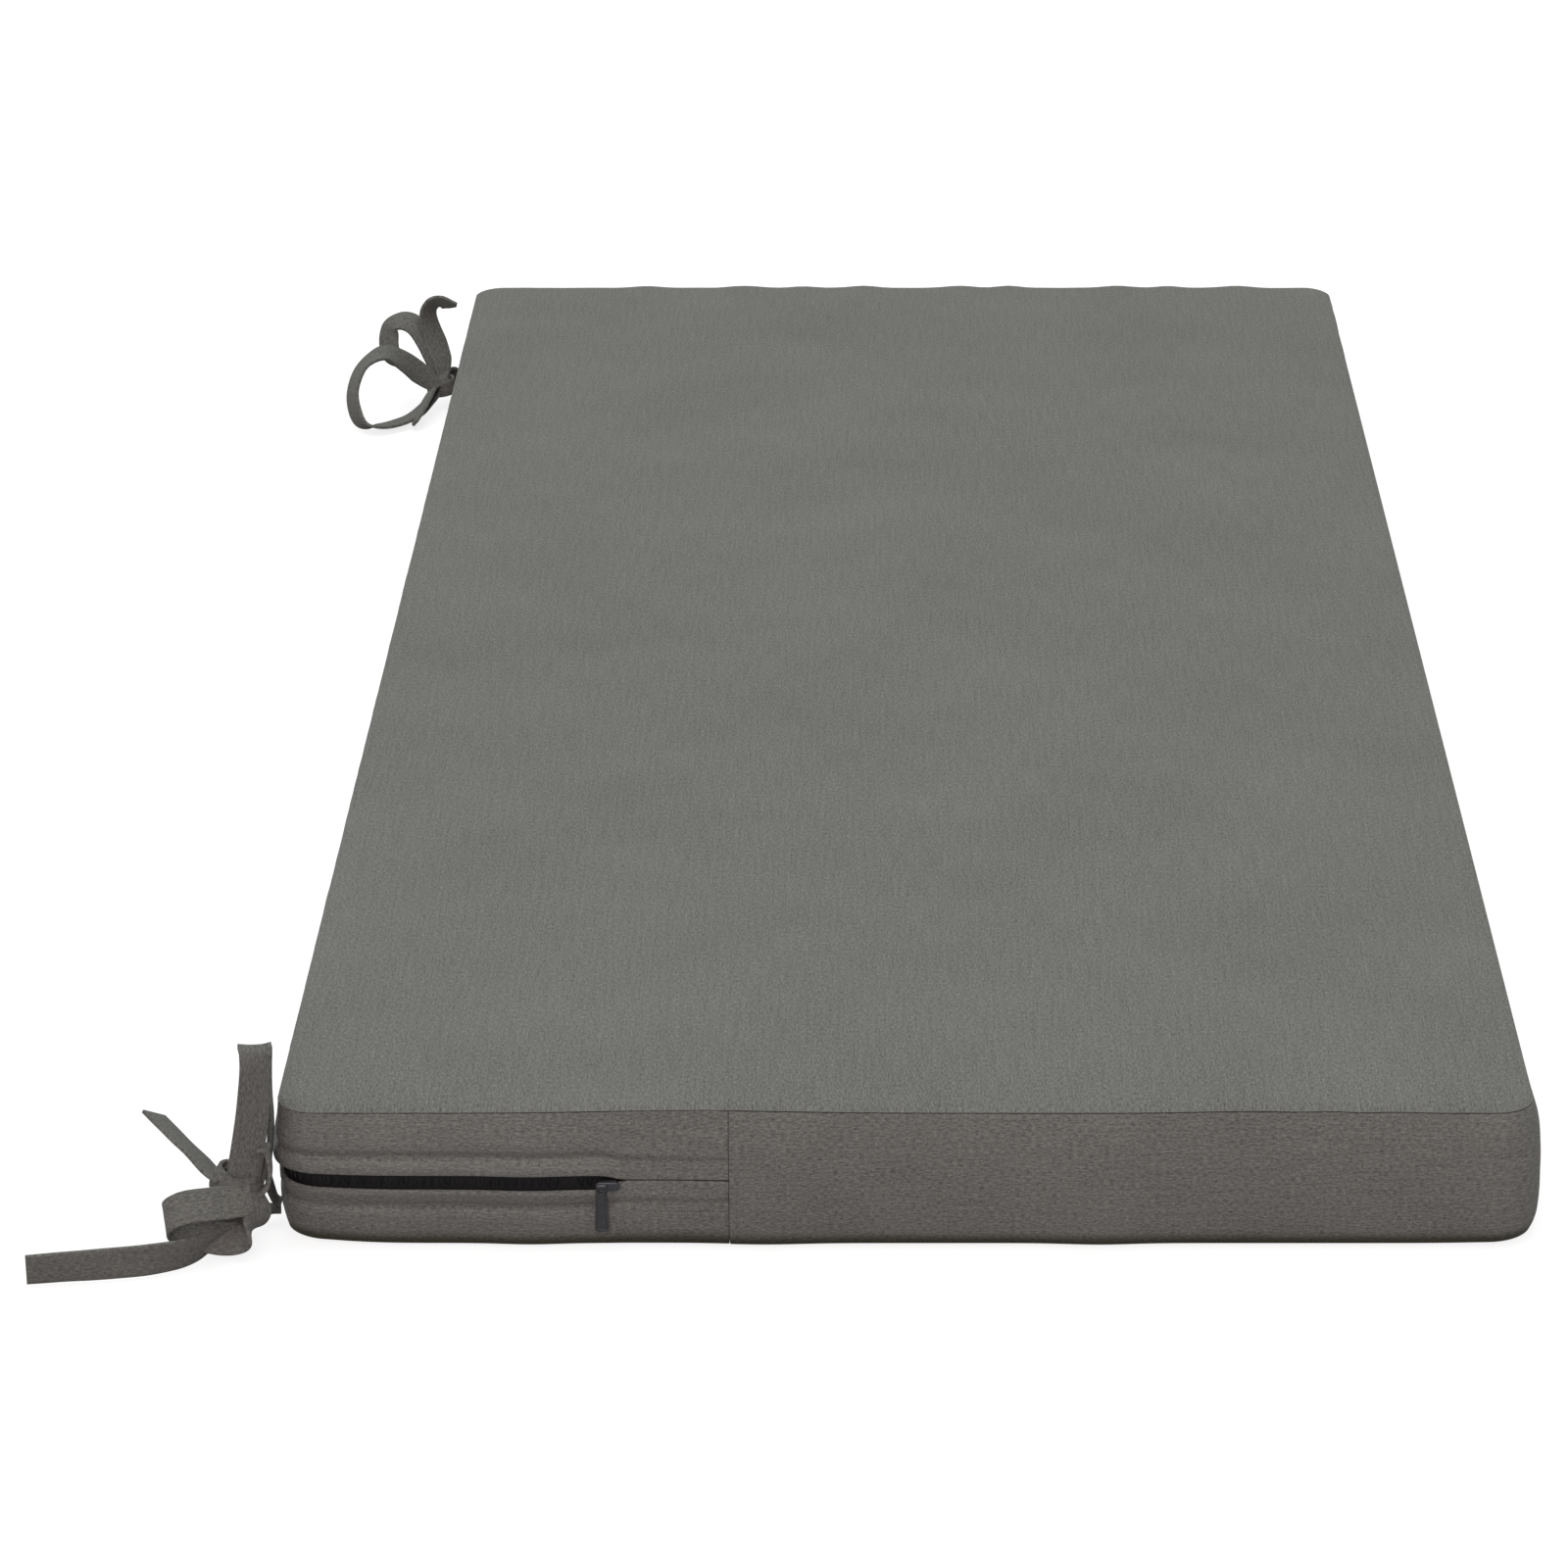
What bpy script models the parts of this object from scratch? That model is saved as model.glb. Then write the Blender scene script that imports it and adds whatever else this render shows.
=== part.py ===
"""A bench cushion: a filled box cushion with a zip panel and a bow tie at each end of its left side.

The cushion lies flat. +X points to its right side, +Y along its length to the far end and +Z up.
The origin is the middle of the flat underside. Sizes below are in millimetres.
"""

import math
from collections import namedtuple

import bmesh
import bpy
from mathutils import Matrix, Vector

MM = 0.001

# The whole cushion, over the swell of its sides.
LENGTH = 1067.0
WIDTH = 454.0
SWELL = 3.4
SEAM_HALF_WIDTH = WIDTH / 2 - SWELL
SEAM_HALF_LENGTH = LENGTH / 2 - SWELL
CORNER_RADIUS = 14.0
LOW_CORNER_EXTRA = 1.5
CORNER_REACH = 24.0
CORNER_RISE = 0.6
CORNER_DRAW = 3.6
CLEARANCE = 0.3
BACKING_GAP = 0.65

# The strips sewn round the sides.
CLOTH = 1.5
STRIP_FOOT = 3.0
STRIP_HEAD = 50.7
SEAM_X = -62.7
NEAR_STEP = 17.0
FAR_STEP = 11.0
LONG_STEP = 44.0
PUCKERED_STEP = 13.0
PUCKERED_FROM = 400.0
CORNER_STEPS = 4
NEXT_TO_CORNER = 20.0

# The zip: its opening, where it closes before the upright seam, and its hard pieces.
ZIP_LINE = 26.3
ZIP_LOWER_EDGE = 22.6
ZIP_UPPER_EDGE = 27.6
ZIP_OPEN_X = -103.2
ZIP_SHUT_X = -96.0
TAPE_THICKNESS = 0.9
ZIP_SHUT_INSET = 0.3
ZIP_SHUT_GAP = 0.4
SLIDER_X = -108.0
SLIDER_UP = 25.1
SLIDER_BODY = (6.6, 3.6, 4.0)
SLIDER_PLATE = (8.6, 1.3, 5.4)
SLIDER_BACK = 1.8
PULL_SIZE = (5.4, 1.0, 18.4)
PULL_TOP = 22.0
PULL_BACK = 2.6

# The straps of the ties.
STRAP = 12.0
STRAP_THICKNESS = 1.4
STRAP_STEPS = 3
KNOT_STEPS = 18

# A level of a strip: height, how far it stands out from the seam line, and the same at a corner.
Level = namedtuple("Level", "up out corner")
# A ring of a panel: how far inside the seam line, its height, and how much of the corners'
# rise and of the zip panel's drawn-in corners it takes.
Ring = namedtuple("Ring", "inset up rise draw")
# A pucker of the seams: side, place along it, lift of the top seam, push outwards, half-length.
Pucker = namedtuple("Pucker", "side along lift push reach")
# A fold of a strap: distance out from the left side, distance along from the nearest end,
# height, then the way its width runs (turn in plan, lean above level) and its width.
Fold = namedtuple("Fold", "out along up turn lean width")
# The wrap of a knot: its middle, half-axes, tilt to the left and the width of its strap.
Knot = namedtuple("Knot", "out along up half_x half_y tilt width")

PLAIN_LEVELS = (
    Level(STRIP_FOOT + CLEARANCE, 1.6, 1.7),
    Level(7.0, 2.7, 3.0),
    Level(14.0, 3.3, SWELL),
    Level(24.0, SWELL, SWELL),
    Level(34.0, 3.0, 3.1),
    Level(44.0, 1.5, 2.2),
    Level(STRIP_HEAD - CLEARANCE, 0.0, 0.2),
)
ZIP_LOWER_LEVELS = (
    Level(STRIP_FOOT + CLEARANCE, 0.9, -1.9),
    Level(7.0, 1.7, -1.4),
    Level(13.5, 2.0, -1.1),
    Level(16.5, 1.2, -1.8),
    Level(19.0, 1.9, -1.2),
    Level(ZIP_LOWER_EDGE, 1.9, -1.3),
)
ZIP_UPPER_LEVELS = (
    Level(ZIP_UPPER_EDGE, 3.7, 1.3),
    Level(32.0, 3.3, 1.6),
    Level(34.8, 2.3, 0.9),
    Level(37.5, 2.7, 1.3),
    Level(44.5, 1.5, 0.2),
    Level(STRIP_HEAD - CLEARANCE, 0.0, -0.3),
)
TAPE_LEVELS = (Level(20.8, -0.3, -3.4), Level(24.0, -0.2, -3.1), Level(29.5, 0.9, -1.3))
BACKING_UPS = (STRIP_FOOT, 7.0, 13.0, 17.0, 21.0, 24.0, 29.0, 36.0, 44.5, STRIP_HEAD)
UNDERSIDE = (
    Ring(16.0, 0.0, 0.0, 0.0),
    Ring(4.0, 0.3, 0.4, 0.3),
    Ring(0.0, 0.5, 0.8, 0.8),
    Ring(-1.9, 1.2, 1.0, 1.0),
)
TOP_PANEL = (
    Ring(0.2, 51.2, 0.0, 0.1),
    Ring(1.4, 52.1, 0.0, 0.0),
    Ring(5.0, 52.8, 0.0, 0.0),
    Ring(22.0, 53.5, 0.0, 0.0),
    Ring(80.0, 54.2, 0.0, 0.0),
)
PUCKERS = (
    Pucker("far", -135.0, 1.0, 0.0, 9.0),
    Pucker("far", -83.0, 1.2, 0.0, 10.0),
    Pucker("far", -52.0, 0.9, 0.0, 8.0),
    Pucker("far", -21.0, 1.2, 0.0, 9.0),
    Pucker("far", 30.0, 1.3, 0.0, 9.0),
    Pucker("far", 56.0, 1.3, 0.0, 8.0),
    Pucker("far", 113.0, 1.2, 0.0, 10.0),
    Pucker("far", 139.0, 1.0, 0.0, 8.0),
    Pucker("far", 175.0, 1.2, 0.0, 9.0),
    Pucker("right", 515.0, 0.3, -1.6, 9.0),
    Pucker("right", 492.0, 0.0, 1.0, 14.0),
    Pucker("right", 470.0, 0.2, -1.3, 9.0),
    Pucker("right", 440.0, 0.0, 0.8, 14.0),
    Pucker("right", 405.0, 0.1, -0.8, 10.0),
    Pucker("right", -518.0, 0.4, 0.6, 10.0),
    Pucker("near", -134.0, 0.0, 1.2, 14.0),
    Pucker("near", -50.0, 0.0, 1.2, 18.0),
    Pucker("near", 69.0, 0.0, 1.3, 16.0),
)

NEAR_KNOT = Knot(9.8, 1.5, 27.2, 8.0, 6.6, -8.0, 7.6)
NEAR_UPRIGHT_LOOP = (
    Fold(8.2, -0.4, 26.5, 34, -8, 7.0),
    Fold(7.3, -0.6, 33.0, 28, -4, 8.0),
    Fold(5.8, -2.0, 41.5, 24, -4, 10.6),
    Fold(3.5, -3.7, 53.9, 28, -8, STRAP),
    Fold(2.2, -4.0, 63.4, 34, -12, STRAP),
    Fold(1.6, -3.4, 71.0, 36, -12, STRAP),
    Fold(1.6, -2.0, 75.6, 34, -10, STRAP),
    Fold(1.9, 0.3, 77.2, 31, -8, STRAP),
    Fold(2.2, 3.0, 77.0, 28, -7, STRAP),
    Fold(2.3, 5.8, 74.4, 28, -6, STRAP),
    Fold(1.0, 7.8, 68.0, 54, -4, STRAP),
    Fold(-0.8, 8.6, 61.0, 82, 0, STRAP),
    Fold(-1.7, 8.8, 54.0, 97, 0, 11.5),
    Fold(-1.9, 8.8, 47.0, 98, 0, 10.5),
    Fold(-1.6, 9.0, 40.0, 98, 2, 10.0),
    Fold(-0.7, 9.8, 32.0, 97, 8, 9.5),
    Fold(0.3, 12.4, 25.0, 96, 18, 9.0),
    Fold(1.1, 16.8, 18.6, 95, 24, 9.0),
    Fold(0.9, 20.8, 13.0, 93, 20, 9.0),
    Fold(0.4, 23.4, 8.8, 91, 8, 9.0),
    Fold(-0.1, 24.0, 6.4, 90, 0, 9.0),
    Fold(-1.2, 24.0, 5.1, 90, 0, 9.0),
    Fold(-2.4, 24.0, 5.0, 90, 0, 9.0),
)
NEAR_LONG_TAIL = (
    Fold(10.2, 2.0, 26.2, 16, -6, 8.0),
    Fold(11.6, 3.5, 20.5, 18, -4, 9.5),
    Fold(13.1, 4.0, 14.1, 12, 0, 11.0),
    Fold(15.4, 2.6, 7.4, 0, 6, STRAP),
    Fold(18.6, -2.2, 3.6, -18, 10, STRAP),
    Fold(22.2, -8.6, 2.9, -28, 14, STRAP),
    Fold(26.0, -15.2, 4.9, -36, 40, STRAP),
    Fold(31.6, -20.4, 6.6, -48, 74, STRAP),
    Fold(41.7, -24.5, 6.9, -90, 86, STRAP),
    Fold(56.8, -27.5, 6.9, -90, 84, STRAP),
    Fold(70.3, -29.5, 6.7, -90, 80, STRAP),
    Fold(80.7, -31.5, 6.6, -90, 77, STRAP),
)
NEAR_WRAP_LEG = (
    Fold(-2.2, 24.4, 3.1, 90, 0, 8.6),
    Fold(0.4, 23.8, 3.5, 87, 1, 8.6),
    Fold(3.2, 22.2, 5.0, 80, 5, 8.8),
    Fold(6.2, 19.0, 8.4, 60, 12, 9.0),
    Fold(8.4, 14.8, 12.8, 34, 12, 8.5),
    Fold(9.2, 10.6, 18.8, 8, 4, 8.0),
    Fold(9.2, 8.1, 25.6, 2, 0, 7.0),
)
NEAR_KNOT_FOLD = (
    Fold(5.0, -4.2, 28.0, 34, -8, 7.5),
    Fold(3.4, -4.0, 32.5, 46, -6, 7.0),
    Fold(2.0, -3.4, 36.4, 52, 0, 5.0),
    Fold(1.2, -3.0, 38.8, 56, 0, 2.4),
)
NEAR_LOW_LOOP = (
    Fold(6.0, -4.8, 23.8, 50, 66, 7.0),
    Fold(9.4, -6.8, 22.6, 62, 60, 10.0),
    Fold(13.4, -9.6, 22.2, 76, 55, STRAP),
    Fold(18.6, -12.4, 22.8, 88, 54, STRAP),
    Fold(26.6, -14.5, 22.6, 95, 62, STRAP),
    Fold(31.6, -14.0, 20.1, 102, 67, STRAP),
    Fold(34.0, -12.0, 16.6, 107, 67, STRAP),
    Fold(33.4, -10.0, 14.2, 98, 60, STRAP),
    Fold(28.5, -8.6, 12.8, 86, 50, STRAP),
    Fold(21.4, -7.6, 11.2, 76, 44, STRAP),
    Fold(14.2, -7.0, 9.4, 64, 38, STRAP),
    Fold(8.7, -6.4, 9.2, 75, 30, STRAP),
    Fold(4.8, -5.6, 12.1, 45, 4, STRAP),
    Fold(3.4, -5.0, 16.3, 42, -10, 11.0),
    Fold(4.0, -4.8, 20.5, 40, -18, 9.0),
    Fold(5.4, -3.9, 25.0, 34, -22, 7.0),
)
NEAR_SHORT_TAIL = (
    Fold(18.1, 1.2, 27.6, 80, -60, 5.5),
    Fold(20.0, 4.3, 29.4, 52, -44, 9.0),
    Fold(23.6, 9.2, 31.8, 41, -28, 11.5),
    Fold(28.6, 15.8, 34.8, 37, -24, STRAP),
    Fold(34.2, 23.2, 38.0, 37, -24, STRAP),
    Fold(39.4, 30.0, 40.8, 37, -24, STRAP),
)

FAR_KNOT = Knot(13.6, -49.0, 11.8, 7.0, 5.8, 6.0, 7.5)
FAR_LOOP_LEG = (
    Fold(-2.3, -28.0, 3.3, 90, 0, 9.0),
    Fold(-0.6, -28.2, 3.7, 90, 0, 9.0),
    Fold(3.2, -29.2, 6.8, 80, 0, 9.0),
    Fold(7.2, -32.0, 11.0, 42, 8, 9.0),
    Fold(10.0, -37.4, 16.0, 16, 8, 8.5),
    Fold(11.8, -42.6, 18.6, 6, 4, 7.0),
    Fold(12.9, -46.8, 17.4, 6, 0, 6.0),
    Fold(13.4, -49.0, 13.0, 10, 0, 5.0),
)
FAR_UPPER_LOOP = (
    Fold(14.0, -48.8, 12.5, 40, 40, 6.0),
    Fold(15.4, -46.4, 19.0, 50, 44, 8.5),
    Fold(18.4, -42.8, 27.4, 60, 40, 11.5),
    Fold(22.6, -40.4, 35.0, 66, 38, STRAP),
    Fold(27.2, -39.0, 40.0, 70, 39, STRAP),
    Fold(32.4, -38.2, 42.4, 86, 33, 11.6),
    Fold(36.6, -37.7, 42.2, 106, 19, 11.2),
    Fold(39.3, -38.0, 40.2, 121, 6, 11.6),
    Fold(40.1, -39.0, 36.4, 133, -8, STRAP),
    Fold(40.1, -40.5, 31.8, 134, -12, STRAP),
    Fold(39.1, -42.0, 27.1, 126, -9, STRAP),
    Fold(36.0, -43.6, 23.4, 113, -4, STRAP),
    Fold(30.6, -45.2, 20.8, 104, 0, 11.5),
    Fold(24.0, -46.8, 18.9, 100, 4, 9.0),
    Fold(18.8, -47.6, 17.8, 100, 6, 7.5),
    Fold(15.0, -48.6, 13.4, 100, 10, 6.0),
)
FAR_UPRIGHT_TAIL = (
    Fold(12.9, -48.8, 12.0, 26, -10, 6.0),
    Fold(12.9, -46.9, 17.4, 24, -6, 7.5),
    Fold(13.6, -43.4, 24.5, 22, -6, 11.0),
    Fold(16.3, -39.5, 31.6, 22, -9, STRAP),
    Fold(19.0, -37.0, 38.4, 34, -12, STRAP),
    Fold(20.4, -35.5, 44.0, 46, -18, STRAP),
    Fold(20.3, -35.0, 48.4, 57, -25, STRAP),
    Fold(18.4, -35.4, 51.6, 70, -33, STRAP),
    Fold(15.5, -36.3, 53.2, 84, -41, STRAP),
    Fold(12.2, -36.9, 53.2, 92, -45, STRAP),
    Fold(8.9, -37.0, 52.4, 94, -44, 10.0),
    Fold(5.3, -36.6, 51.5, 92, -40, 4.0),
)
FAR_WRAP_LEG = (
    Fold(-2.3, -41.0, 3.0, 90, 0, 9.0),
    Fold(-0.6, -41.0, 3.1, 90, 0, 9.0),
    Fold(2.6, -41.6, 3.6, 94, 4, 8.5),
    Fold(5.4, -44.4, 6.0, 100, 10, 7.5),
    Fold(6.9, -47.6, 10.0, 96, 16, 6.0),
)
FAR_ROUND_LOOP = (
    Fold(14.6, -55.4, 11.6, 30, 62, 5.5),
    Fold(19.0, -55.2, 16.0, 42, 57, 9.5),
    Fold(25.0, -56.8, 21.6, 60, 44, STRAP),
    Fold(31.3, -60.4, 28.0, 76, 38, STRAP),
    Fold(39.4, -66.0, 34.0, 90, 22, STRAP),
    Fold(46.8, -71.0, 33.2, 102, 4, STRAP),
    Fold(53.2, -76.0, 28.1, 108, -10, STRAP),
    Fold(56.4, -81.0, 18.9, 109, -18, STRAP),
    Fold(54.4, -85.4, 10.2, 110, -18, STRAP),
    Fold(49.8, -88.0, 5.2, 112, -14, STRAP),
    Fold(42.4, -88.2, 3.6, 120, -8, STRAP),
    Fold(33.6, -82.4, 3.4, 132, -8, STRAP),
    Fold(25.6, -73.0, 4.0, 140, -12, 11.0),
    Fold(20.4, -63.6, 6.0, 146, -16, 9.0),
    Fold(15.6, -55.0, 9.6, 150, -16, 6.0),
)
FAR_SHORT_TAIL = (
    Fold(16.0, -54.8, 11.4, 104, -24, 6.0),
    Fold(18.6, -58.2, 10.6, 120, -42, 8.5),
    Fold(20.8, -63.4, 9.2, 125, -47, 10.0),
    Fold(22.8, -71.0, 7.2, 125, -47, 10.0),
    Fold(24.8, -80.0, 5.0, 125, -47, 6.0),
)

NEAR = -1
FAR = 1

# Colours (linear), roughness and metallic value of each finish.
Finish = namedtuple("Finish", "colour roughness metallic")
FINISHES = {
    "cushion_cloth": Finish((0.171, 0.174, 0.158), 0.95, 0.0),
    "band_cloth": Finish((0.125, 0.120, 0.108), 0.95, 0.0),
    "tie_cloth": Finish((0.125, 0.122, 0.110), 0.95, 0.0),
    "zip_tape": Finish((0.011, 0.011, 0.013), 0.75, 0.0),
    "zip_metal": Finish((0.055, 0.055, 0.058), 0.45, 0.8),
}


def clear_scene():
    """Remove every object of the scene."""
    for obj in list(bpy.data.objects):
        bpy.data.objects.remove(obj, do_unlink=True)


def new_collection(name):
    """Add a collection to the scene."""
    collection = bpy.data.collections.new(name)
    bpy.context.scene.collection.children.link(collection)
    return collection


def finish_material(slot):
    """The material of a finish, made once."""
    if slot in bpy.data.materials:
        return bpy.data.materials[slot]
    finish = FINISHES[slot]
    material = bpy.data.materials.new(slot)
    material.use_nodes = True
    shader = material.node_tree.nodes["Principled BSDF"]
    shader.inputs["Base Color"].default_value = (*finish.colour, 1.0)
    shader.inputs["Roughness"].default_value = finish.roughness
    shader.inputs["Metallic"].default_value = finish.metallic
    return material


def add_object(name, bm, slot, collection):
    """Make a bmesh, worked out in millimetres, an object of a collection."""
    bmesh.ops.scale(bm, vec=(MM, MM, MM), verts=bm.verts)
    mesh = bpy.data.meshes.new(name)
    bm.to_mesh(mesh)
    bm.free()
    mesh.materials.append(finish_material(slot))
    mesh.shade_smooth()
    mesh.set_sharp_from_angle(angle=math.radians(50))
    obj = bpy.data.objects.new(name, mesh)
    collection.objects.link(obj)
    return obj


def solidify(obj, thickness, offset):
    """Give an open surface its thickness; offset -1 is inwards, 0 to both sides."""
    wall = obj.modifiers.new("thickness", "SOLIDIFY")
    wall.thickness = thickness * MM
    wall.offset = offset
    wall.use_even_offset = False
    return wall


def skin(bm, rows, closed_rows=False, closed_loop=False):
    """Join rows of points with quads, and return the rows of vertices.

    closed_rows joins each row's ends, and closed_loop joins the last row to the first.
    """
    made = [[bm.verts.new(point) for point in row] for row in rows]
    pairs = list(zip(made, made[1:]))
    if closed_loop:
        pairs.append((made[-1], made[0]))
    for low, high in pairs:
        count = len(low)
        for i in range(count if closed_rows else count - 1):
            j = (i + 1) % count
            bm.faces.new((low[i], low[j], high[j], high[i]))
    return made


# ---------------------------------------------------------------- outline of the cushion

# A station of the outline: its side or corner, its place along the side or angle of the corner.
Station = namedtuple("Station", "side along angle")


def places(side, start, end, step):
    """Evenly spaced stations of a side from start to end, both included."""
    count = max(1, round(abs(end - start) / step))
    return [Station(side, start + (end - start) * i / count, None) for i in range(count + 1)]


def corner_stations(side, first_angle):
    """The stations inside a corner, counter-clockwise."""
    turn = 90.0 / CORNER_STEPS
    return [Station(side, 0.0, first_angle + turn * i) for i in range(1, CORNER_STEPS)]


def outline_stations():
    """The stations of the whole outline, counter-clockwise from the upright seam of the near end.

    The first one begins the plain strip, and the last one ends the zip panel.
    """
    x_end = SEAM_HALF_WIDTH - CORNER_RADIUS
    y_end = SEAM_HALF_LENGTH - CORNER_RADIUS
    gap = CLEARANCE / 2
    near = places("near", x_end, SEAM_X + gap, NEAR_STEP)[::-1]
    right = [Station("right", -y_end, None)]
    right += places("right", NEXT_TO_CORNER - y_end, PUCKERED_FROM, LONG_STEP)
    right += places("right", PUCKERED_FROM, y_end, PUCKERED_STEP)[1:]
    far = places("far", x_end, SEAM_X + gap, FAR_STEP)
    zip_far = places("far", SEAM_X - gap, -x_end, FAR_STEP)
    left = places("left", y_end - NEXT_TO_CORNER, NEXT_TO_CORNER - y_end, LONG_STEP)
    left = [Station("left", y_end, None)] + left + [Station("left", -y_end, None)]
    zip_near = places("near", -x_end, ZIP_OPEN_X, NEAR_STEP)
    zip_near += places("near", ZIP_SHUT_X, SEAM_X - gap, NEAR_STEP)
    plain = near + corner_stations("near_right", -90) + right + corner_stations("far_right", 0) + far
    panel = zip_far + corner_stations("far_left", 90) + left + corner_stations("near_left", 180)
    return plain, panel + zip_near


CORNER_SIGNS = {
    "near_right": (1, -1),
    "far_right": (1, 1),
    "far_left": (-1, 1),
    "near_left": (-1, -1),
}


def outline_point(station, out, corner_radius=CORNER_RADIUS):
    """A station's point on the outline drawn out (or, below zero, in) from the seam line."""
    half_x = SEAM_HALF_WIDTH + out
    half_y = SEAM_HALF_LENGTH + out
    radius = max(corner_radius + out, corner_radius / 3)
    if station.angle is not None:
        sign_x, sign_y = CORNER_SIGNS[station.side]
        angle = math.radians(station.angle)
        return (
            sign_x * (half_x - radius) + radius * math.cos(angle),
            sign_y * (half_y - radius) + radius * math.sin(angle),
        )
    if station.side in ("near", "far"):
        fixed = SEAM_HALF_WIDTH / 2
        past = abs(station.along) - fixed
        along = station.along
        if past > 0.0:
            fit = (half_x - radius - fixed) / (SEAM_HALF_WIDTH - CORNER_RADIUS - fixed)
            along = math.copysign(fixed + past * fit, along)
        return along, half_y if station.side == "far" else -half_y
    fit = (half_y - radius) / (SEAM_HALF_LENGTH - CORNER_RADIUS)
    return half_x if station.side == "right" else -half_x, station.along * fit


def pucker_at(station):
    """The lift of the top seam and the push outwards at a station."""
    lift = 0.0
    push = 0.0
    for pucker in PUCKERS:
        if pucker.side != station.side or station.angle is not None:
            continue
        nearness = math.exp(-(((station.along - pucker.along) / pucker.reach) ** 2))
        lift += pucker.lift * nearness
        push += pucker.push * nearness
    return lift, push


def nearness_to_corner(station):
    """1 at a corner of the outline, falling to 0 away from it."""
    x, y = outline_point(station, 0.0)
    distance = math.hypot(SEAM_HALF_WIDTH - abs(x), SEAM_HALF_LENGTH - abs(y))
    return math.exp(-((distance / CORNER_REACH) ** 2))


def side_point(station, up, out, rise=0.0):
    """A point of the side at a station, with the puckers of the seams and the corners' rise."""
    lift, push = pucker_at(station)
    shoulder = min(1.0, max(0.0, (STRIP_HEAD - up) / 12.0))
    radius = CORNER_RADIUS + LOW_CORNER_EXTRA * max(0.0, 1.0 - up / STRIP_HEAD)
    x, y = outline_point(station, out + push * shoulder, radius)
    raised = lift * min(1.0, max(0.0, (up - 30.0) / 20.0))
    raised += rise * CORNER_RISE * nearness_to_corner(station)
    return Vector((x, y, up + raised))


def low_rise(up):
    """How much of the corners' rise the side takes at a height."""
    return min(1.0, max(0.0, (14.0 - up) / 12.0))


def zip_is_shut(station):
    """Whether the zip's strips meet at a station, which they do beside the upright seams."""
    return station.side in ("near", "far") and station.along >= ZIP_SHUT_X


def out_at(levels, up, station):
    """How far out a strip stands at a height of a station, or None past its edges."""
    if not levels[0].up - CLEARANCE * 4 <= up <= levels[-1].up + CLEARANCE * 4:
        return None
    near = nearness_to_corner(station)
    outs = [level.out + (level.corner - level.out) * near for level in levels]
    for low, high, low_out, high_out in zip(levels, levels[1:], outs, outs[1:]):
        if up <= high.up:
            part = max(0.0, (up - low.up) / (high.up - low.up))
            return low_out + (high_out - low_out) * part
    return outs[-1]


def backing_out(station, up, carried):
    """How far out the filled body stands behind the strips it carries at a height."""
    outs = []
    for levels, thickness in carried:
        out = out_at(levels, up, station)
        if out is not None:
            outs.append(out - thickness - BACKING_GAP)
    if zip_is_shut(station):
        shut_out = out_at(PLAIN_LEVELS, up, station) - ZIP_SHUT_INSET
        outs.append(shut_out - CLOTH - BACKING_GAP)
    return min(outs)


# ---------------------------------------------------------------- cushion and strips


def make_cushion(plain, panel, collection):
    """The filled body: flat underside, side channel for the strips, and crowned top."""
    band = [(PLAIN_LEVELS, CLOTH)]
    zipped = [(ZIP_LOWER_LEVELS, CLOTH), (TAPE_LEVELS, TAPE_THICKNESS), (ZIP_UPPER_LEVELS, CLOTH)]
    carried = [band] * len(plain) + [zipped] * len(panel)
    carried[0] = carried[len(plain) - 1] = band + zipped
    stations = plain + panel
    draws = [0.0] * len(plain) + [CORNER_DRAW * nearness_to_corner(place) for place in panel]

    def ring_row(ring):
        return [
            side_point(station, ring.up, -ring.inset - ring.draw * draw, ring.rise)
            for station, draw in zip(stations, draws)
        ]

    def backing_row(up):
        return [
            side_point(station, up, backing_out(station, up, strips), low_rise(up))
            for station, strips in zip(stations, carried)
        ]

    rows = [ring_row(ring) for ring in UNDERSIDE]
    rows += [backing_row(up) for up in BACKING_UPS]
    rows += [ring_row(ring) for ring in TOP_PANEL]
    bm = bmesh.new()
    made = skin(bm, rows, closed_rows=True)
    bm.faces.new(reversed(made[0]))
    bm.faces.new(made[-1])
    return add_object("cushion", bm, "cushion_cloth", collection)


def make_strip(name, stations, section, collection, slot="band_cloth", thickness=CLOTH):
    """A sewn strip that follows the stations; section gives its levels at a station."""
    columns = [
        [side_point(station, up, out, low_rise(up)) for up, out in section(station)]
        for station in stations
    ]
    bm = bmesh.new()
    skin(bm, list(zip(*columns)))
    strip = add_object(name, bm, slot, collection)
    solidify(strip, thickness, -1.0)
    return strip


def open_section(levels):
    """The section of a strip that keeps its levels all along."""

    def section(station):
        return [(level.up, out_at(levels, level.up, station)) for level in levels]

    return section


def zip_section(levels, edge, shut_edge):
    """The section of a strip of the zip panel, which closes on the zip line beside the seams."""
    sewn = STRIP_FOOT if levels is ZIP_LOWER_LEVELS else STRIP_HEAD

    def section(station):
        rows = []
        for level in levels:
            up = level.up
            out = out_at(levels, up, station)
            if zip_is_shut(station):
                out = max(0.0, out_at(PLAIN_LEVELS, up, station) - ZIP_SHUT_INSET)
                up += (shut_edge - edge) * max(0.0, (up - sewn) / (edge - sewn))
            rows.append((up, out))
        return rows

    return section


def add_box(bm, middle, size):
    """Add a box of a given size to a bmesh."""
    made = bmesh.ops.create_cube(bm, size=1.0)["verts"]
    bmesh.ops.scale(bm, vec=size, verts=made)
    bmesh.ops.translate(bm, vec=middle, verts=made)
    return made


def round_edges(bm, axis, radius):
    """Round the edges of a bmesh that run along an axis."""
    edges = [e for e in bm.edges if abs(e.verts[0].co[axis] - e.verts[1].co[axis]) > 0.5]
    bmesh.ops.bevel(bm, geom=edges, offset=radius, segments=2, affect="EDGES", profile=0.5)


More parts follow.
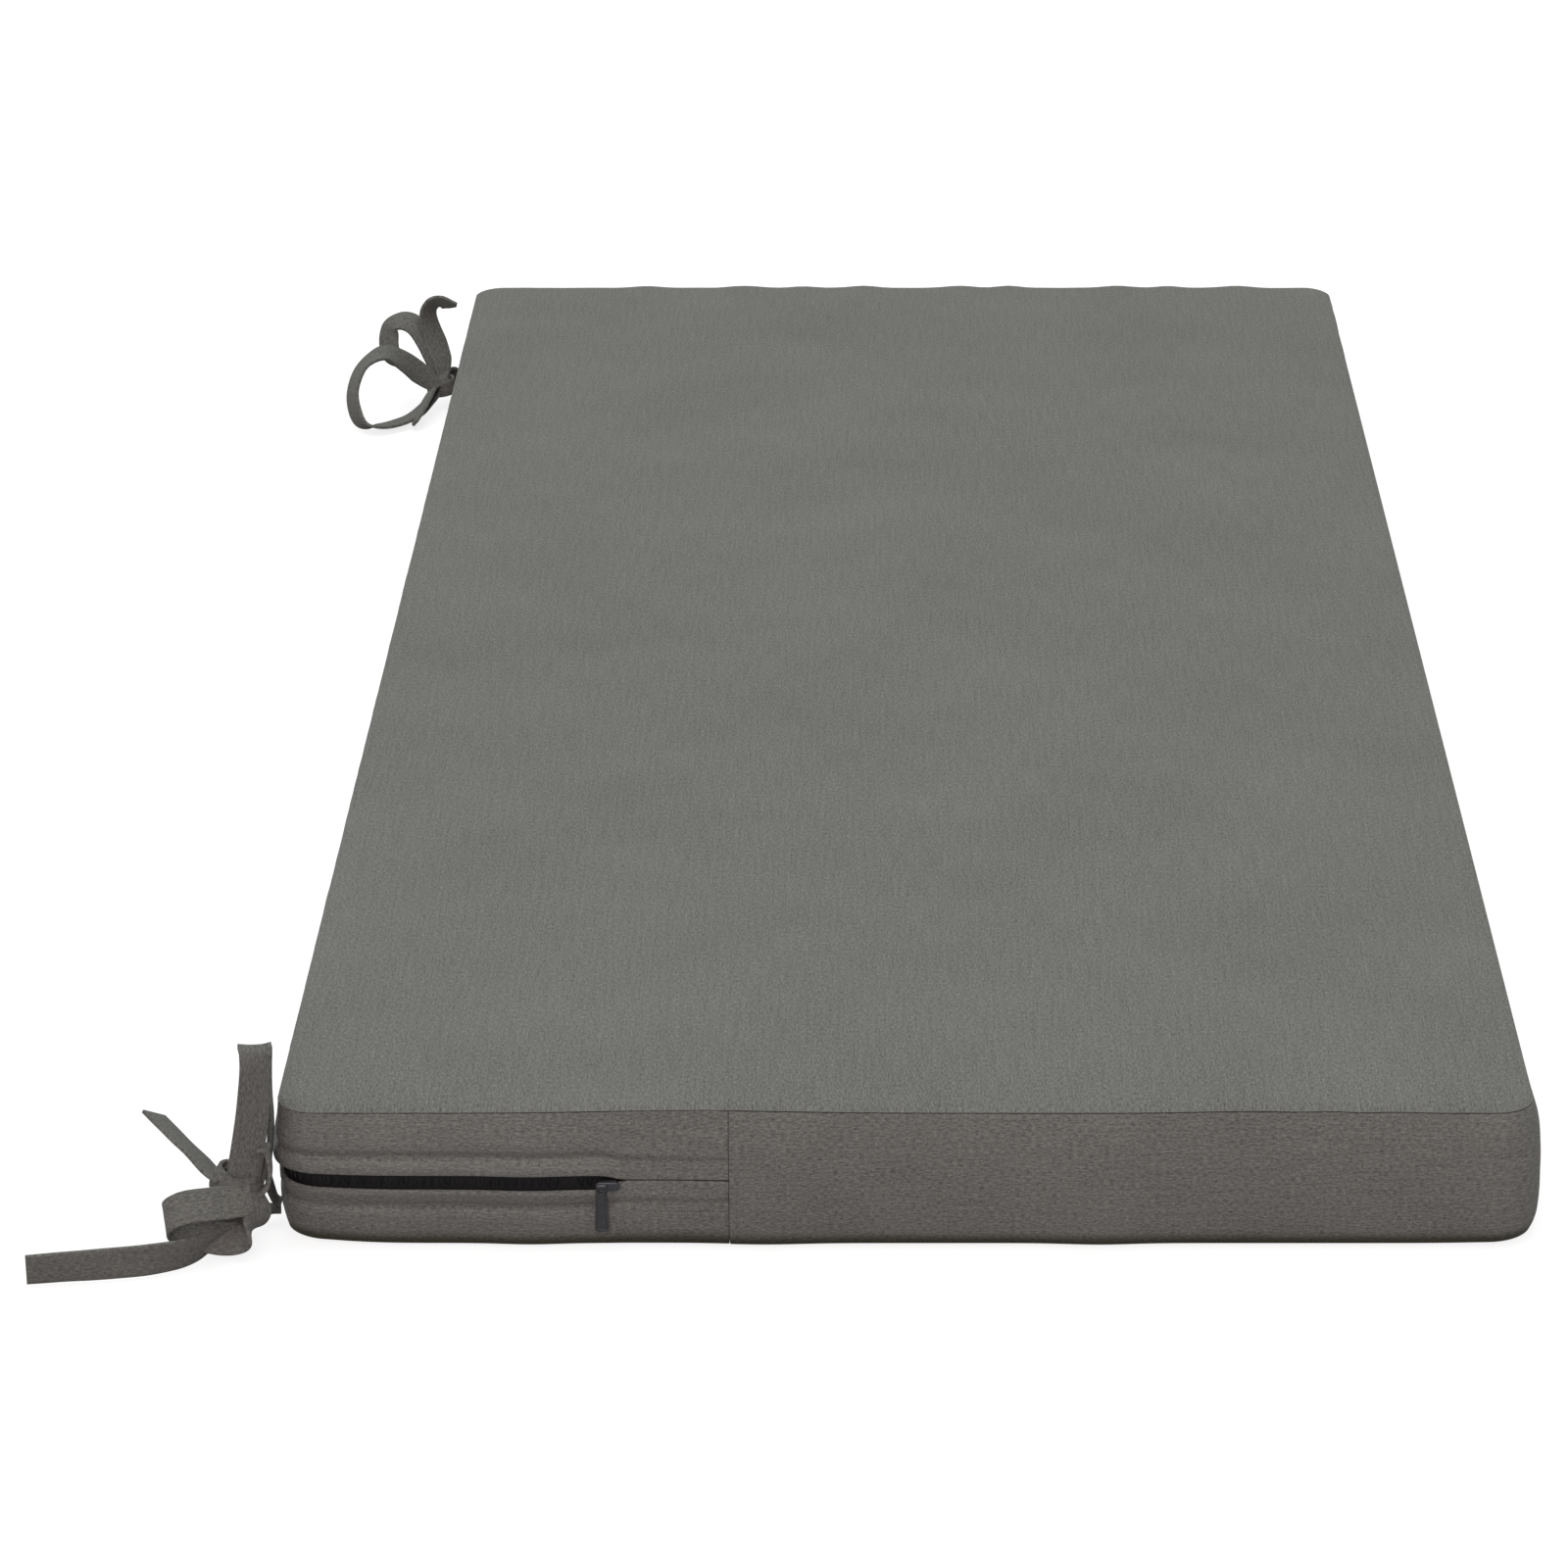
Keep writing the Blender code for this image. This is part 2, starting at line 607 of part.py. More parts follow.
def zip_face(out):
    """The Y of a plane that stands out from the near seam line."""
    return -SEAM_HALF_LENGTH - out


def make_slider(collection):
    """The zip's slider: a body between the two strips and a wider plate in front of them."""
    bm = bmesh.new()
    back = SLIDER_BACK + SLIDER_BODY[1] / 2
    add_box(bm, (SLIDER_X, zip_face(back), SLIDER_UP), SLIDER_BODY)
    slider = add_object("zip_slider", bm, "zip_metal", collection)
    bm = bmesh.new()
    front = SLIDER_BACK + SLIDER_BODY[1] + SLIDER_PLATE[1] / 2 - 0.3
    add_box(bm, (SLIDER_X, zip_face(front), SLIDER_UP), SLIDER_PLATE)
    round_edges(bm, 1, 1.2)
    plate = add_object("zip_slider_plate", bm, "zip_metal", collection)
    join(slider, [plate])
    return slider


def make_pull(collection):
    """The flat tab that hangs from the slider in front of the lower strip."""
    bm = bmesh.new()
    middle = (SLIDER_X - 1.0, zip_face(PULL_BACK + PULL_SIZE[1] / 2), PULL_TOP - PULL_SIZE[2] / 2)
    add_box(bm, middle, PULL_SIZE)
    round_edges(bm, 1, 0.9)
    return add_object("zip_pull", bm, "zip_metal", collection)


# ---------------------------------------------------------------- ties


def tie_place(end, out, along, up):
    """A place given from the left side and the nearest end of the cushion."""
    if end == NEAR:
        return Vector((-WIDTH / 2 - out, -LENGTH / 2 + along, up))
    return Vector((-WIDTH / 2 - out, LENGTH / 2 + along, up))


def curve_value(before, start, end, after, part):
    """A smooth curve through start and end, at a part of the way."""
    return 0.5 * (
        2 * start
        + (end - before) * part
        + (2 * before - 5 * start + 4 * end - after) * part**2
        + (3 * start - before - 3 * end + after) * part**3
    )


def strap_rows(end, folds):
    """The two edge points of a strap at even steps along its folds."""
    places = [tie_place(end, fold.out, fold.along, fold.up) for fold in folds]
    ways = []
    for fold in folds:
        turn = math.radians(fold.turn)
        lean = math.radians(fold.lean)
        level = math.cos(lean)
        ways.append(Vector((math.cos(turn) * level, math.sin(turn) * level, math.sin(lean))))
    last = len(folds) - 1
    steps = []
    for i in range(last):
        around = (max(0, i - 1), i, i + 1, min(last, i + 2))
        for step in range(STRAP_STEPS):
            part = step / STRAP_STEPS
            width = folds[i].width + (folds[i + 1].width - folds[i].width) * part
            steps.append(
                (
                    curve_value(*(places[j] for j in around), part),
                    curve_value(*(ways[j] for j in around), part),
                    width,
                )
            )
    steps.append((places[last], ways[last], folds[last].width))
    rows = []
    before = None
    for i, (place, way, width) in enumerate(steps):
        along = (steps[min(i + 1, len(steps) - 1)][0] - steps[max(i - 1, 0)][0]).normalized()
        across = (way - along * way.dot(along)).normalized()
        if before is not None and across.dot(before) < 0.0:
            across = -across
        before = across
        rows.append((place - across * width / 2, place + across * width / 2))
    return rows


def make_strap(name, end, folds, collection):
    """A strap of a tie, as a solid ribbon along its folds."""
    bm = bmesh.new()
    skin(bm, strap_rows(end, folds))
    strap = add_object(name, bm, "tie_cloth", collection)
    solidify(strap, STRAP_THICKNESS, 0.0)
    return strap


def make_knot_middle(name, end, knot, collection):
    """The bunched middle of a knot, which fills its wrap."""
    room = STRAP_THICKNESS / 2 + CLEARANCE * 2
    bm = bmesh.new()
    made = bmesh.ops.create_uvsphere(bm, u_segments=14, v_segments=9, radius=1.0)["verts"]
    bmesh.ops.scale(
        bm, vec=(knot.half_x - room, knot.half_y - room, knot.width * 0.82), verts=made
    )
    tilt_and_place(bm, end, knot)
    return add_object(name, bm, "tie_cloth", collection)


def tilt_and_place(bm, end, knot):
    """Lean what is in a bmesh to the left by the knot's tilt and move it to the knot."""
    bmesh.ops.rotate(
        bm,
        cent=(0, 0, 0),
        matrix=Matrix.Rotation(math.radians(-knot.tilt), 3, "Y"),
        verts=bm.verts,
    )
    bmesh.ops.translate(bm, vec=tie_place(end, knot.out, knot.along, knot.up), verts=bm.verts)


def make_knot_wrap(name, end, knot, collection, thickness=STRAP_THICKNESS):
    """The strap wound once round the knot, as a closed band."""
    extra = (thickness - STRAP_THICKNESS) / 2
    rows = []
    for i in range(KNOT_STEPS):
        angle = 2 * math.pi * i / KNOT_STEPS
        x = knot.half_x * math.cos(angle)
        y = knot.half_y * math.sin(angle)
        slope = 0.7 * math.sin(angle)
        reach = knot.width / 2 + extra
        rows.append([Vector((x, y, slope + reach * part)) for part in (-1.0, 0.0, 1.0)])
    bm = bmesh.new()
    skin(bm, rows, closed_loop=True)
    tilt_and_place(bm, end, knot)
    wrap = add_object(name, bm, "tie_cloth", collection)
    solidify(wrap, thickness, 0.0)
    return wrap


def join(base, pieces, operation="UNION"):
    """Sew pieces to a base, or cut room for them in it, and make the pieces helpers."""
    for piece in pieces:
        sewn = base.modifiers.new("sewn_" + piece.name, "BOOLEAN")
        sewn.operation = operation
        sewn.solver = "EXACT"
        sewn.use_self = True
        sewn.object = piece
        piece.hide_render = True
        piece.display_type = "WIRE"


def make_tie(end, knot, names, straps, collection, helpers):
    """A bow: the strap that fills the knot, and the strap that wraps it.

    names are the nodes of the two straps, and straps the tables of folds of each.
    """
    core = make_knot_middle(names[0], end, knot, collection)
    wrap = make_knot_wrap(names[1], end, knot, collection)
    for base, folds in zip((core, wrap), straps):
        pieces = [
            make_strap(f"{base.name}_{number}", end, table, helpers)
            for number, table in enumerate(folds, 1)
        ]
        join(base, pieces)
    room = STRAP_THICKNESS + 2 * CLEARANCE
    join(core, [make_knot_wrap(f"{core.name}_room", end, knot, helpers, room)], "DIFFERENCE")
    return core, wrap


def main():
    """Build the cushion, its strips, its zip and its two ties."""
    clear_scene()
    collection = new_collection("bench_cushion")
    helpers = new_collection("sewing_helpers")
    plain, panel = outline_stations()
    make_cushion(plain, panel, collection)
    make_strip("band_plain", plain, open_section(PLAIN_LEVELS), collection)
    lower = zip_section(ZIP_LOWER_LEVELS, ZIP_LOWER_EDGE, ZIP_LINE - ZIP_SHUT_GAP / 2)
    upper = zip_section(ZIP_UPPER_LEVELS, ZIP_UPPER_EDGE, ZIP_LINE + ZIP_SHUT_GAP / 2)
    make_strip("zip_strip_lower", panel, lower, collection)
    make_strip("zip_strip_upper", panel, upper, collection)
    tape = open_section(TAPE_LEVELS)
    make_strip("zip_tape", panel[1:-1], tape, collection, "zip_tape", TAPE_THICKNESS)
    make_slider(collection)
    make_pull(collection)
    make_tie(
        NEAR,
        NEAR_KNOT,
        ("near_tie_loop", "near_tie_wrap"),
        (
            (NEAR_UPRIGHT_LOOP, NEAR_LONG_TAIL),
            (NEAR_WRAP_LEG, NEAR_KNOT_FOLD, NEAR_LOW_LOOP, NEAR_SHORT_TAIL),
        ),
        collection,
        helpers,
    )
    make_tie(
        FAR,
        FAR_KNOT,
        ("far_tie_loop", "far_tie_wrap"),
        (
            (FAR_LOOP_LEG, FAR_UPPER_LOOP, FAR_UPRIGHT_TAIL),
            (FAR_WRAP_LEG, FAR_ROUND_LOOP, FAR_SHORT_TAIL),
        ),
        collection,
        helpers,
    )


main()
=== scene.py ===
"""Dressed model of a bench cushion: melange cloth, a sewn zip panel, its zip and two tied bows.

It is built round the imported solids, in metres: +X to the cushion's right side, +Y to its far end
and +Z up, with the origin in the middle of the flat underside. The sizes in the classes below are
in millimetres and are made metres when a mesh is finished.
"""

from __future__ import annotations

import logging
import math
from collections.abc import Callable, Iterator, Sequence
from dataclasses import dataclass, field
from enum import Enum

import bmesh
import bpy
from mathutils import Matrix, Vector, noise

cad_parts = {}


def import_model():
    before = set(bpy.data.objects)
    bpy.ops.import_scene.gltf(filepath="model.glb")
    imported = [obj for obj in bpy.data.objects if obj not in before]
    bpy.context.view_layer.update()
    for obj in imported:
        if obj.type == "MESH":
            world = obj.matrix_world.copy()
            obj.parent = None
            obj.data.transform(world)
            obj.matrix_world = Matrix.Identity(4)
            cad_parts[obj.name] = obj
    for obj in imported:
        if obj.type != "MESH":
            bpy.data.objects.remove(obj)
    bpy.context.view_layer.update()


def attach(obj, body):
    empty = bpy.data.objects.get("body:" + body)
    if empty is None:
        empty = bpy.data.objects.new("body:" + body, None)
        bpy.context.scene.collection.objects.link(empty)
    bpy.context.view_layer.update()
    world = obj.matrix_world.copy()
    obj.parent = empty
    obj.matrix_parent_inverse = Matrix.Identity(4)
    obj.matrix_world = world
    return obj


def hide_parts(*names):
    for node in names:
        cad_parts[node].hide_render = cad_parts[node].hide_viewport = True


LOG = logging.getLogger("bench_cushion")
MM = 0.001
WEAVE_MAP = "weave"
WIDTH = 454.0
LENGTH = 1067.0
CLOTH_THICKNESS = 1.5
TAPE_THICKNESS = 0.9
TAPE_SHORTENED = 3
STITCH_PITCH = 3.4
UPPER_STITCHES = 35.6
LOWER_STITCHES = 16.0
STRAP = 12.0
STRAP_THICKNESS = 1.4
TIE_SHARP_DEGREES = 70.0


class Stretch(Enum):
    """A side or a corner of the outline, by the signs of its X and Y."""

    NEAR = (0, -1)
    NEAR_RIGHT = (1, -1)
    RIGHT = (1, 0)
    FAR_RIGHT = (1, 1)
    FAR = (0, 1)
    FAR_LEFT = (-1, 1)
    LEFT = (-1, 0)
    NEAR_LEFT = (-1, -1)


class End(Enum):
    """An end of the cushion, by the sign of its Y."""

    NEAR = -1
    FAR = 1

    def spot(self, out: float, along: float, up: float) -> Vector:
        """A place given from the left side and this end of the cushion."""
        return Vector((-WIDTH / 2 - out, self.value * LENGTH / 2 + along, up))


@dataclass(frozen=True)
class Station:
    """A place on the outline: along a side or at an angle of a corner, and its run round it."""

    stretch: Stretch
    along: float
    angle: float | None = None
    run: float = 0.0


@dataclass(frozen=True)
class Level:
    """A level of a sewn strip: its height, and how far it stands out on a side and at a corner."""

    up: float
    out: float
    corner: float


@dataclass(frozen=True)
class BodyLevel:
    """A level of the body below its top seam.

    Without an inset it follows the strips; rise and draw are its shares of the corners' rise and
    of the zip panel's drawn-in corners.
    """

    up: float
    inset: float | None
    rise: float
    draw: float


@dataclass(frozen=True)
class ZipEdge:
    """Heights of a strip's edge beside the open zip and the shut one, and of its sewn edge."""

    open_up: float
    shut_up: float
    sewn_up: float


@dataclass(frozen=True)
class Pucker:
    """A pucker of the seams: lift of the top seam, push outwards and half-length."""

    stretch: Stretch
    along: float
    lift: float
    push: float
    reach: float


@dataclass(frozen=True)
class Fold:
    """A fold of a strap: its place from the left side and the nearest end, and how it lies.

    Turn and lean, in degrees, say which way the strap's width runs.
    """

    out: float
    along: float
    up: float
    turn: float
    lean: float
    width: float


@dataclass(frozen=True)
class Knot:
    """The wrap of a knot: its middle, half-axes, tilt to the left and the width of its strap."""

    out: float
    along: float
    up: float
    half_x: float
    half_y: float
    tilt: float
    width: float


PLAIN_LEVELS = (
    Level(0.4, 0.4, 0.5),
    Level(1.7, 1.0, 1.1),
    Level(3.6, 1.8, 1.9),
    Level(7.5, 2.7, 2.9),
    Level(14.0, 3.3, 3.4),
    Level(24.0, 3.4, 3.4),
    Level(34.0, 3.0, 3.1),
    Level(44.0, 1.5, 2.2),
    Level(50.8, 0.0, 0.1),
)
ZIP_LOWER_LEVELS = (
    Level(0.4, 0.3, -3.2),
    Level(1.7, 0.8, -2.9),
    Level(3.6, 1.3, -2.3),
    Level(7.5, 2.0, -1.5),
    Level(12.0, 2.6, -0.9),
    Level(14.4, 1.9, -1.3),
    Level(16.0, 0.5, -2.4),
    Level(18.2, 1.4, -1.7),
    Level(20.7, 2.8, -0.6),
    Level(22.4, 2.3, -1.0),
)
ZIP_UPPER_LEVELS = (
    Level(28.3, 3.8, 1.4),
    Level(30.6, 4.2, 1.9),
    Level(33.2, 3.2, 1.4),
    Level(35.6, 1.5, 0.2),
    Level(37.8, 2.4, 1.0),
    Level(45.0, 1.5, 0.2),
    Level(50.8, 0.0, -0.3),
)
TAPE_LEVELS = (Level(20.8, -0.3, -3.4), Level(24.0, -0.2, -3.1), Level(29.5, 0.9, -1.3))
UPPER_BACKING_UPS = (51.0, 47.5, 44.5, 40.0, 36.0, 32.0, 29.0)
LOWER_BACKING_UPS = (24.0, 21.0, 17.0, 13.0, 7.0, 3.0, 1.5)
UNDERSIDE_LEVELS = (
    BodyLevel(0.9, 2.6, 0.9, 1.0),
    BodyLevel(0.3, 3.8, 0.7, 0.6),
    BodyLevel(0.05, 6.0, 0.3, 0.3),
    BodyLevel(0.0, 16.0, 0.0, 0.0),
)

PUCKERS = (
    Pucker(Stretch.FAR, -135.0, 1.0, 0.0, 9.0),
    Pucker(Stretch.FAR, -83.0, 1.2, 0.0, 10.0),
    Pucker(Stretch.FAR, -52.0, 0.9, 0.0, 8.0),
    Pucker(Stretch.FAR, -21.0, 1.2, 0.0, 9.0),
    Pucker(Stretch.FAR, 30.0, 1.3, 0.0, 9.0),
    Pucker(Stretch.FAR, 56.0, 1.3, 0.0, 8.0),
    Pucker(Stretch.FAR, 113.0, 1.2, 0.0, 10.0),
    Pucker(Stretch.FAR, 139.0, 1.0, 0.0, 8.0),
    Pucker(Stretch.FAR, 175.0, 1.2, 0.0, 9.0),
    Pucker(Stretch.RIGHT, 515.0, 0.3, -1.6, 9.0),
    Pucker(Stretch.RIGHT, 492.0, 0.0, 1.0, 14.0),
    Pucker(Stretch.RIGHT, 470.0, 0.2, -1.3, 9.0),
    Pucker(Stretch.RIGHT, 440.0, 0.0, 0.8, 14.0),
    Pucker(Stretch.RIGHT, 405.0, 0.1, -0.8, 10.0),
    Pucker(Stretch.RIGHT, -518.0, 0.4, 0.6, 10.0),
    Pucker(Stretch.NEAR, -134.0, 0.0, 1.2, 14.0),
    Pucker(Stretch.NEAR, -50.0, 0.0, 1.2, 18.0),
    Pucker(Stretch.NEAR, 69.0, 0.0, 1.3, 16.0),
    Pucker(Stretch.NEAR, -76.0, 1.1, 0.0, 46.0),
    Pucker(Stretch.NEAR, 121.0, 0.7, 0.0, 24.0),
    Pucker(Stretch.NEAR, 151.0, 0.5, 0.0, 8.0),
    Pucker(Stretch.NEAR, 173.0, 0.4, 0.0, 10.0),
)

NEAR_INNER_TURN = Knot(9.2, 0.6, 27.2, 6.6, 5.0, -6.0, 5.2)
NEAR_OUTER_TURN = Knot(10.4, 0.4, 25.4, 8.4, 6.3, -27.0, 9.0)
NEAR_UPRIGHT_LOOP = (
    Fold(8.0, -1.6, 25.5, 14, -6, 11.6),
    Fold(6.8, -1.9, 33.0, 14, -4, STRAP),
    Fold(5.2, -2.6, 41.5, 16, -4, STRAP),
    Fold(3.2, -3.7, 53.9, 24, -8, STRAP),
    Fold(2.2, -4.0, 63.4, 34, -12, STRAP),
    Fold(1.6, -3.4, 71.0, 36, -12, STRAP),
    Fold(1.6, -2.0, 75.6, 34, -10, STRAP),
    Fold(1.9, 0.3, 77.2, 31, -8, STRAP),
    Fold(2.2, 3.0, 77.0, 28, -7, STRAP),
    Fold(2.3, 5.8, 74.4, 28, -6, STRAP),
    Fold(1.0, 7.8, 68.0, 54, -4, STRAP),
    Fold(-0.8, 8.6, 61.0, 82, 0, STRAP),
    Fold(-1.6, 8.8, 54.0, 92, 0, 11.5),
    Fold(-1.7, 8.8, 47.0, 90, 0, 10.5),
    Fold(-1.4, 9.0, 40.0, 88, 2, 9.6),
    Fold(-0.7, 9.8, 32.0, 88, 8, 8.6),
    Fold(0.2, 12.4, 25.0, 88, 18, 7.6),
    Fold(0.8, 16.8, 18.6, 88, 22, 6.8),
    Fold(0.4, 20.8, 13.4, 88, 18, 6.2),
    Fold(-0.1, 23.0, 10.0, 90, 8, 6.0),
    Fold(-0.7, 23.8, 8.2, 90, 0, 6.0),
    Fold(-1.6, 24.0, 7.3, 90, 0, 6.0),
    Fold(-2.6, 24.0, 7.2, 90, 0, 6.0),
)
NEAR_LONG_TAIL = (
    Fold(10.2, 2.0, 26.2, 16, -6, 8.0),
    Fold(11.6, 3.5, 20.5, 18, -4, 9.5),
    Fold(12.6, 3.6, 14.6, 6, 8, 11.0),
    Fold(14.2, 0.6, 9.4, -8, 28, STRAP),
    Fold(17.4, -5.2, 6.6, -24, 52, STRAP),
    Fold(21.6, -11.6, 6.3, -34, 66, STRAP),
    Fold(26.4, -16.8, 6.5, -44, 74, STRAP),
    Fold(32.6, -20.8, 6.7, -60, 80, STRAP),
    Fold(42.2, -24.5, 6.8, -90, 85, STRAP),
    Fold(56.8, -27.5, 6.8, -90, 84, STRAP),
    Fold(70.3, -29.5, 6.7, -90, 80, STRAP),
    Fold(81.6, -31.5, 6.6, -90, 77, STRAP),
)
NEAR_WRAP_LEG = (
    Fold(-2.6, 22.0, 5.3, 90, 6, 5.6),
    Fold(0.2, 21.6, 5.5, 88, 6, 5.6),
    Fold(3.2, 20.4, 6.2, 80, 8, 6.2),
    Fold(6.2, 17.6, 8.8, 60, 12, 7.4),
    Fold(8.4, 13.8, 12.8, 34, 12, 8.0),
    Fold(9.2, 9.8, 18.8, 8, 4, 8.0),
    Fold(9.2, 5.6, 25.2, 2, 0, 7.0),
)
NEAR_KNOT_FOLD = (
    Fold(5.4, 0.4, 23.6, 14, 0, 8.0),
    Fold(4.0, 0.9, 29.0, 18, 0, 9.0),
    Fold(2.8, 0.9, 34.4, 34, 0, 8.6),
    Fold(1.4, 0.2, 38.6, 64, 0, 7.6),
    Fold(-0.6, -1.0, 39.0, 88, 0, 7.2),
    Fold(-1.7, -1.6, 35.6, 92, 0, 7.0),
    Fold(-2.0, -1.9, 30.6, 92, 0, 6.8),
    Fold(-1.0, -2.0, 25.8, 90, 0, 6.6),
    Fold(1.8, -1.6, 22.6, 90, 0, 6.4),
    Fold(5.4, -0.6, 21.8, 88, 0, 6.0),
)
NEAR_LOW_LOOP = (
    Fold(4.4, -6.0, 22.4, 58, 62, 9.0),
    Fold(8.0, -7.6, 22.2, 66, 56, 11.4),
    Fold(13.4, -9.8, 22.4, 76, 50, STRAP),
    Fold(18.6, -12.4, 23.0, 88, 49, STRAP),
    Fold(26.6, -14.5, 22.8, 95, 52, STRAP),
    Fold(31.8, -14.2, 20.4, 102, 52, STRAP),
    Fold(34.2, -12.2, 17.2, 106, 46, STRAP),
    Fold(33.2, -9.4, 13.6, 102, 45, STRAP),
    Fold(28.3, -7.8, 10.8, 92, 49, STRAP),
    Fold(21.4, -7.4, 8.4, 80, 52, STRAP),
    Fold(14.2, -7.0, 7.0, 66, 54, STRAP),
    Fold(8.4, -6.4, 7.8, 66, 46, STRAP),
    Fold(4.4, -5.8, 11.2, 52, 18, STRAP),
    Fold(2.8, -5.4, 15.8, 44, -6, STRAP),
    Fold(3.6, -5.0, 20.5, 40, -16, 10.0),
    Fold(5.4, -3.9, 25.0, 34, -22, 7.0),
)
NEAR_SHORT_TAIL = (
    Fold(14.6, -2.2, 26.6, 36, -28, 9.0),
    Fold(18.6, 1.6, 28.0, 34, -31, 11.0),
    Fold(24.6, 9.0, 31.0, 32, -33, STRAP),
    Fold(30.6, 15.8, 33.6, 31, -33, STRAP),
    Fold(37.0, 23.2, 36.4, 31, -33, STRAP),
    Fold(42.8, 30.0, 39.0, 31, -33, STRAP),
)

FAR_KNOT = Knot(13.6, -49.0, 11.8, 7.0, 5.8, 6.0, 7.5)
FAR_LOOP_LEG = (
    Fold(-2.3, -28.0, 3.3, 90, 0, 9.0),
    Fold(-0.6, -28.2, 3.7, 90, 0, 9.0),
    Fold(3.2, -29.2, 6.8, 80, 0, 9.0),
    Fold(7.2, -32.0, 11.0, 42, 8, 9.0),
    Fold(10.0, -37.4, 16.0, 16, 8, 8.5),
    Fold(11.8, -42.6, 18.6, 6, 4, 7.0),
    Fold(12.9, -46.8, 17.4, 6, 0, 6.0),
    Fold(13.4, -49.0, 13.0, 10, 0, 5.0),
)
FAR_UPPER_LOOP = (
    Fold(14.0, -48.8, 12.5, 40, 40, 6.0),
    Fold(15.4, -46.4, 19.0, 50, 44, 8.5),
    Fold(18.4, -42.8, 27.4, 60, 40, 11.5),
    Fold(22.6, -40.4, 35.0, 66, 38, STRAP),
    Fold(27.4, -39.0, 41.4, 72, 39, STRAP),
    Fold(32.6, -38.2, 43.6, 84, 34, 11.8),
    Fold(37.6, -37.7, 42.6, 104, 22, 11.4),
    Fold(40.4, -38.0, 40.0, 128, 6, 11.6),
    Fold(40.9, -39.0, 36.2, 145, -8, STRAP),
    Fold(41.0, -40.5, 31.4, 148, -12, STRAP),
    Fold(39.9, -42.0, 26.6, 144, -9, STRAP),
    Fold(36.4, -43.6, 22.4, 124, -4, STRAP),
    Fold(30.6, -45.2, 20.0, 108, 0, 11.0),
    Fold(24.0, -46.8, 18.9, 100, 4, 9.0),
    Fold(18.8, -47.6, 17.8, 100, 6, 7.5),
    Fold(15.0, -48.6, 13.4, 100, 10, 6.0),
)
FAR_UPRIGHT_TAIL = (
    Fold(12.9, -48.8, 12.0, 26, -10, 6.0),
    Fold(12.9, -46.9, 17.4, 24, -6, 7.5),
    Fold(13.6, -43.4, 24.5, 22, -6, 11.0),
    Fold(16.3, -39.5, 31.6, 22, -9, STRAP),
    Fold(19.0, -37.0, 38.4, 34, -12, STRAP),
    Fold(20.4, -35.5, 44.0, 46, -18, STRAP),
    Fold(20.3, -35.0, 48.4, 57, -25, STRAP),
    Fold(18.4, -35.4, 51.6, 70, -33, STRAP),
    Fold(15.5, -36.3, 53.2, 84, -41, STRAP),
    Fold(12.2, -36.9, 53.2, 92, -45, 11.5),
    Fold(8.9, -37.0, 52.4, 94, -44, 8.0),
    Fold(5.3, -36.6, 51.7, 92, -40, 2.4),
)
FAR_WRAP_LEG = (
    Fold(-2.3, -41.0, 3.0, 90, 0, 9.0),
    Fold(-0.6, -41.0, 3.1, 90, 0, 9.0),
    Fold(2.6, -41.6, 3.6, 94, 4, 8.5),
    Fold(5.4, -44.4, 6.0, 100, 10, 7.5),
    Fold(6.9, -47.6, 10.0, 96, 16, 6.0),
)
FAR_ROUND_LOOP = (
    Fold(14.6, -55.4, 11.6, 30, 62, 5.5),
    Fold(19.0, -55.2, 16.0, 42, 57, 9.5),
    Fold(25.0, -56.8, 21.6, 60, 44, STRAP),
    Fold(31.3, -60.4, 28.0, 76, 38, STRAP),
    Fold(39.4, -66.0, 34.0, 94, 22, STRAP),
    Fold(46.8, -71.0, 33.2, 108, 4, STRAP),
    Fold(53.2, -76.0, 28.1, 118, -10, STRAP),
    Fold(56.6, -82.5, 18.0, 122, -18, STRAP),
    Fold(54.8, -89.0, 9.2, 124, -18, STRAP),
    Fold(50.2, -92.6, 4.4, 126, -14, STRAP),
    Fold(42.4, -92.6, 3.0, 130, -8, STRAP),
    Fold(33.6, -86.0, 3.0, 136, -8, STRAP),
    Fold(25.6, -75.4, 3.9, 140, -12, 11.0),
    Fold(20.4, -63.6, 6.0, 146, -16, 9.0),
    Fold(15.6, -55.0, 9.6, 150, -16, 6.0),
)
FAR_SHORT_TAIL = (
    Fold(16.0, -54.8, 12.6, 112, -24, 6.0),
    Fold(17.9, -60.5, 12.0, 128, -34, 9.0),
    Fold(20.0, -69.0, 9.6, 135, -38, 11.5),
    Fold(22.2, -80.0, 6.6, 135, -38, 11.0),
    Fold(24.2, -91.0, 4.2, 135, -38, 4.0),
)


# ---------------------------------------------------------------- sewing helpers


def share(value: float) -> float:
    """A value kept between 0 and 1."""
    return min(1.0, max(0.0, value))


def smooth_value(places: Sequence[float], values: Sequence[float], where: float) -> float:
    """Read a smooth curve through values.

    Args:
        places: where each value stands, rising.
        values: the values the curve passes through.
        where: the place to read, kept between the first and the last.

    Returns:
        The curve's value there.
    """
    last = len(places) - 1
    where = min(max(where, places[0]), places[last])
    i = next(k for k in range(last) if where <= places[k + 1])
    span = places[i + 1] - places[i]
    part = (where - places[i]) / span

    def slope(k: int) -> float:
        """The curve's slope at a value, per span."""
        low, high = max(k - 1, 0), min(k + 1, last)
        return span * (values[high] - values[low]) / (places[high] - places[low])

    return (
        (2 * part**3 - 3 * part**2 + 1) * values[i]
        + (part**3 - 2 * part**2 + part) * slope(i)
        + (3 * part**2 - 2 * part**3) * values[i + 1]
        + (part**3 - part**2) * slope(i + 1)
    )


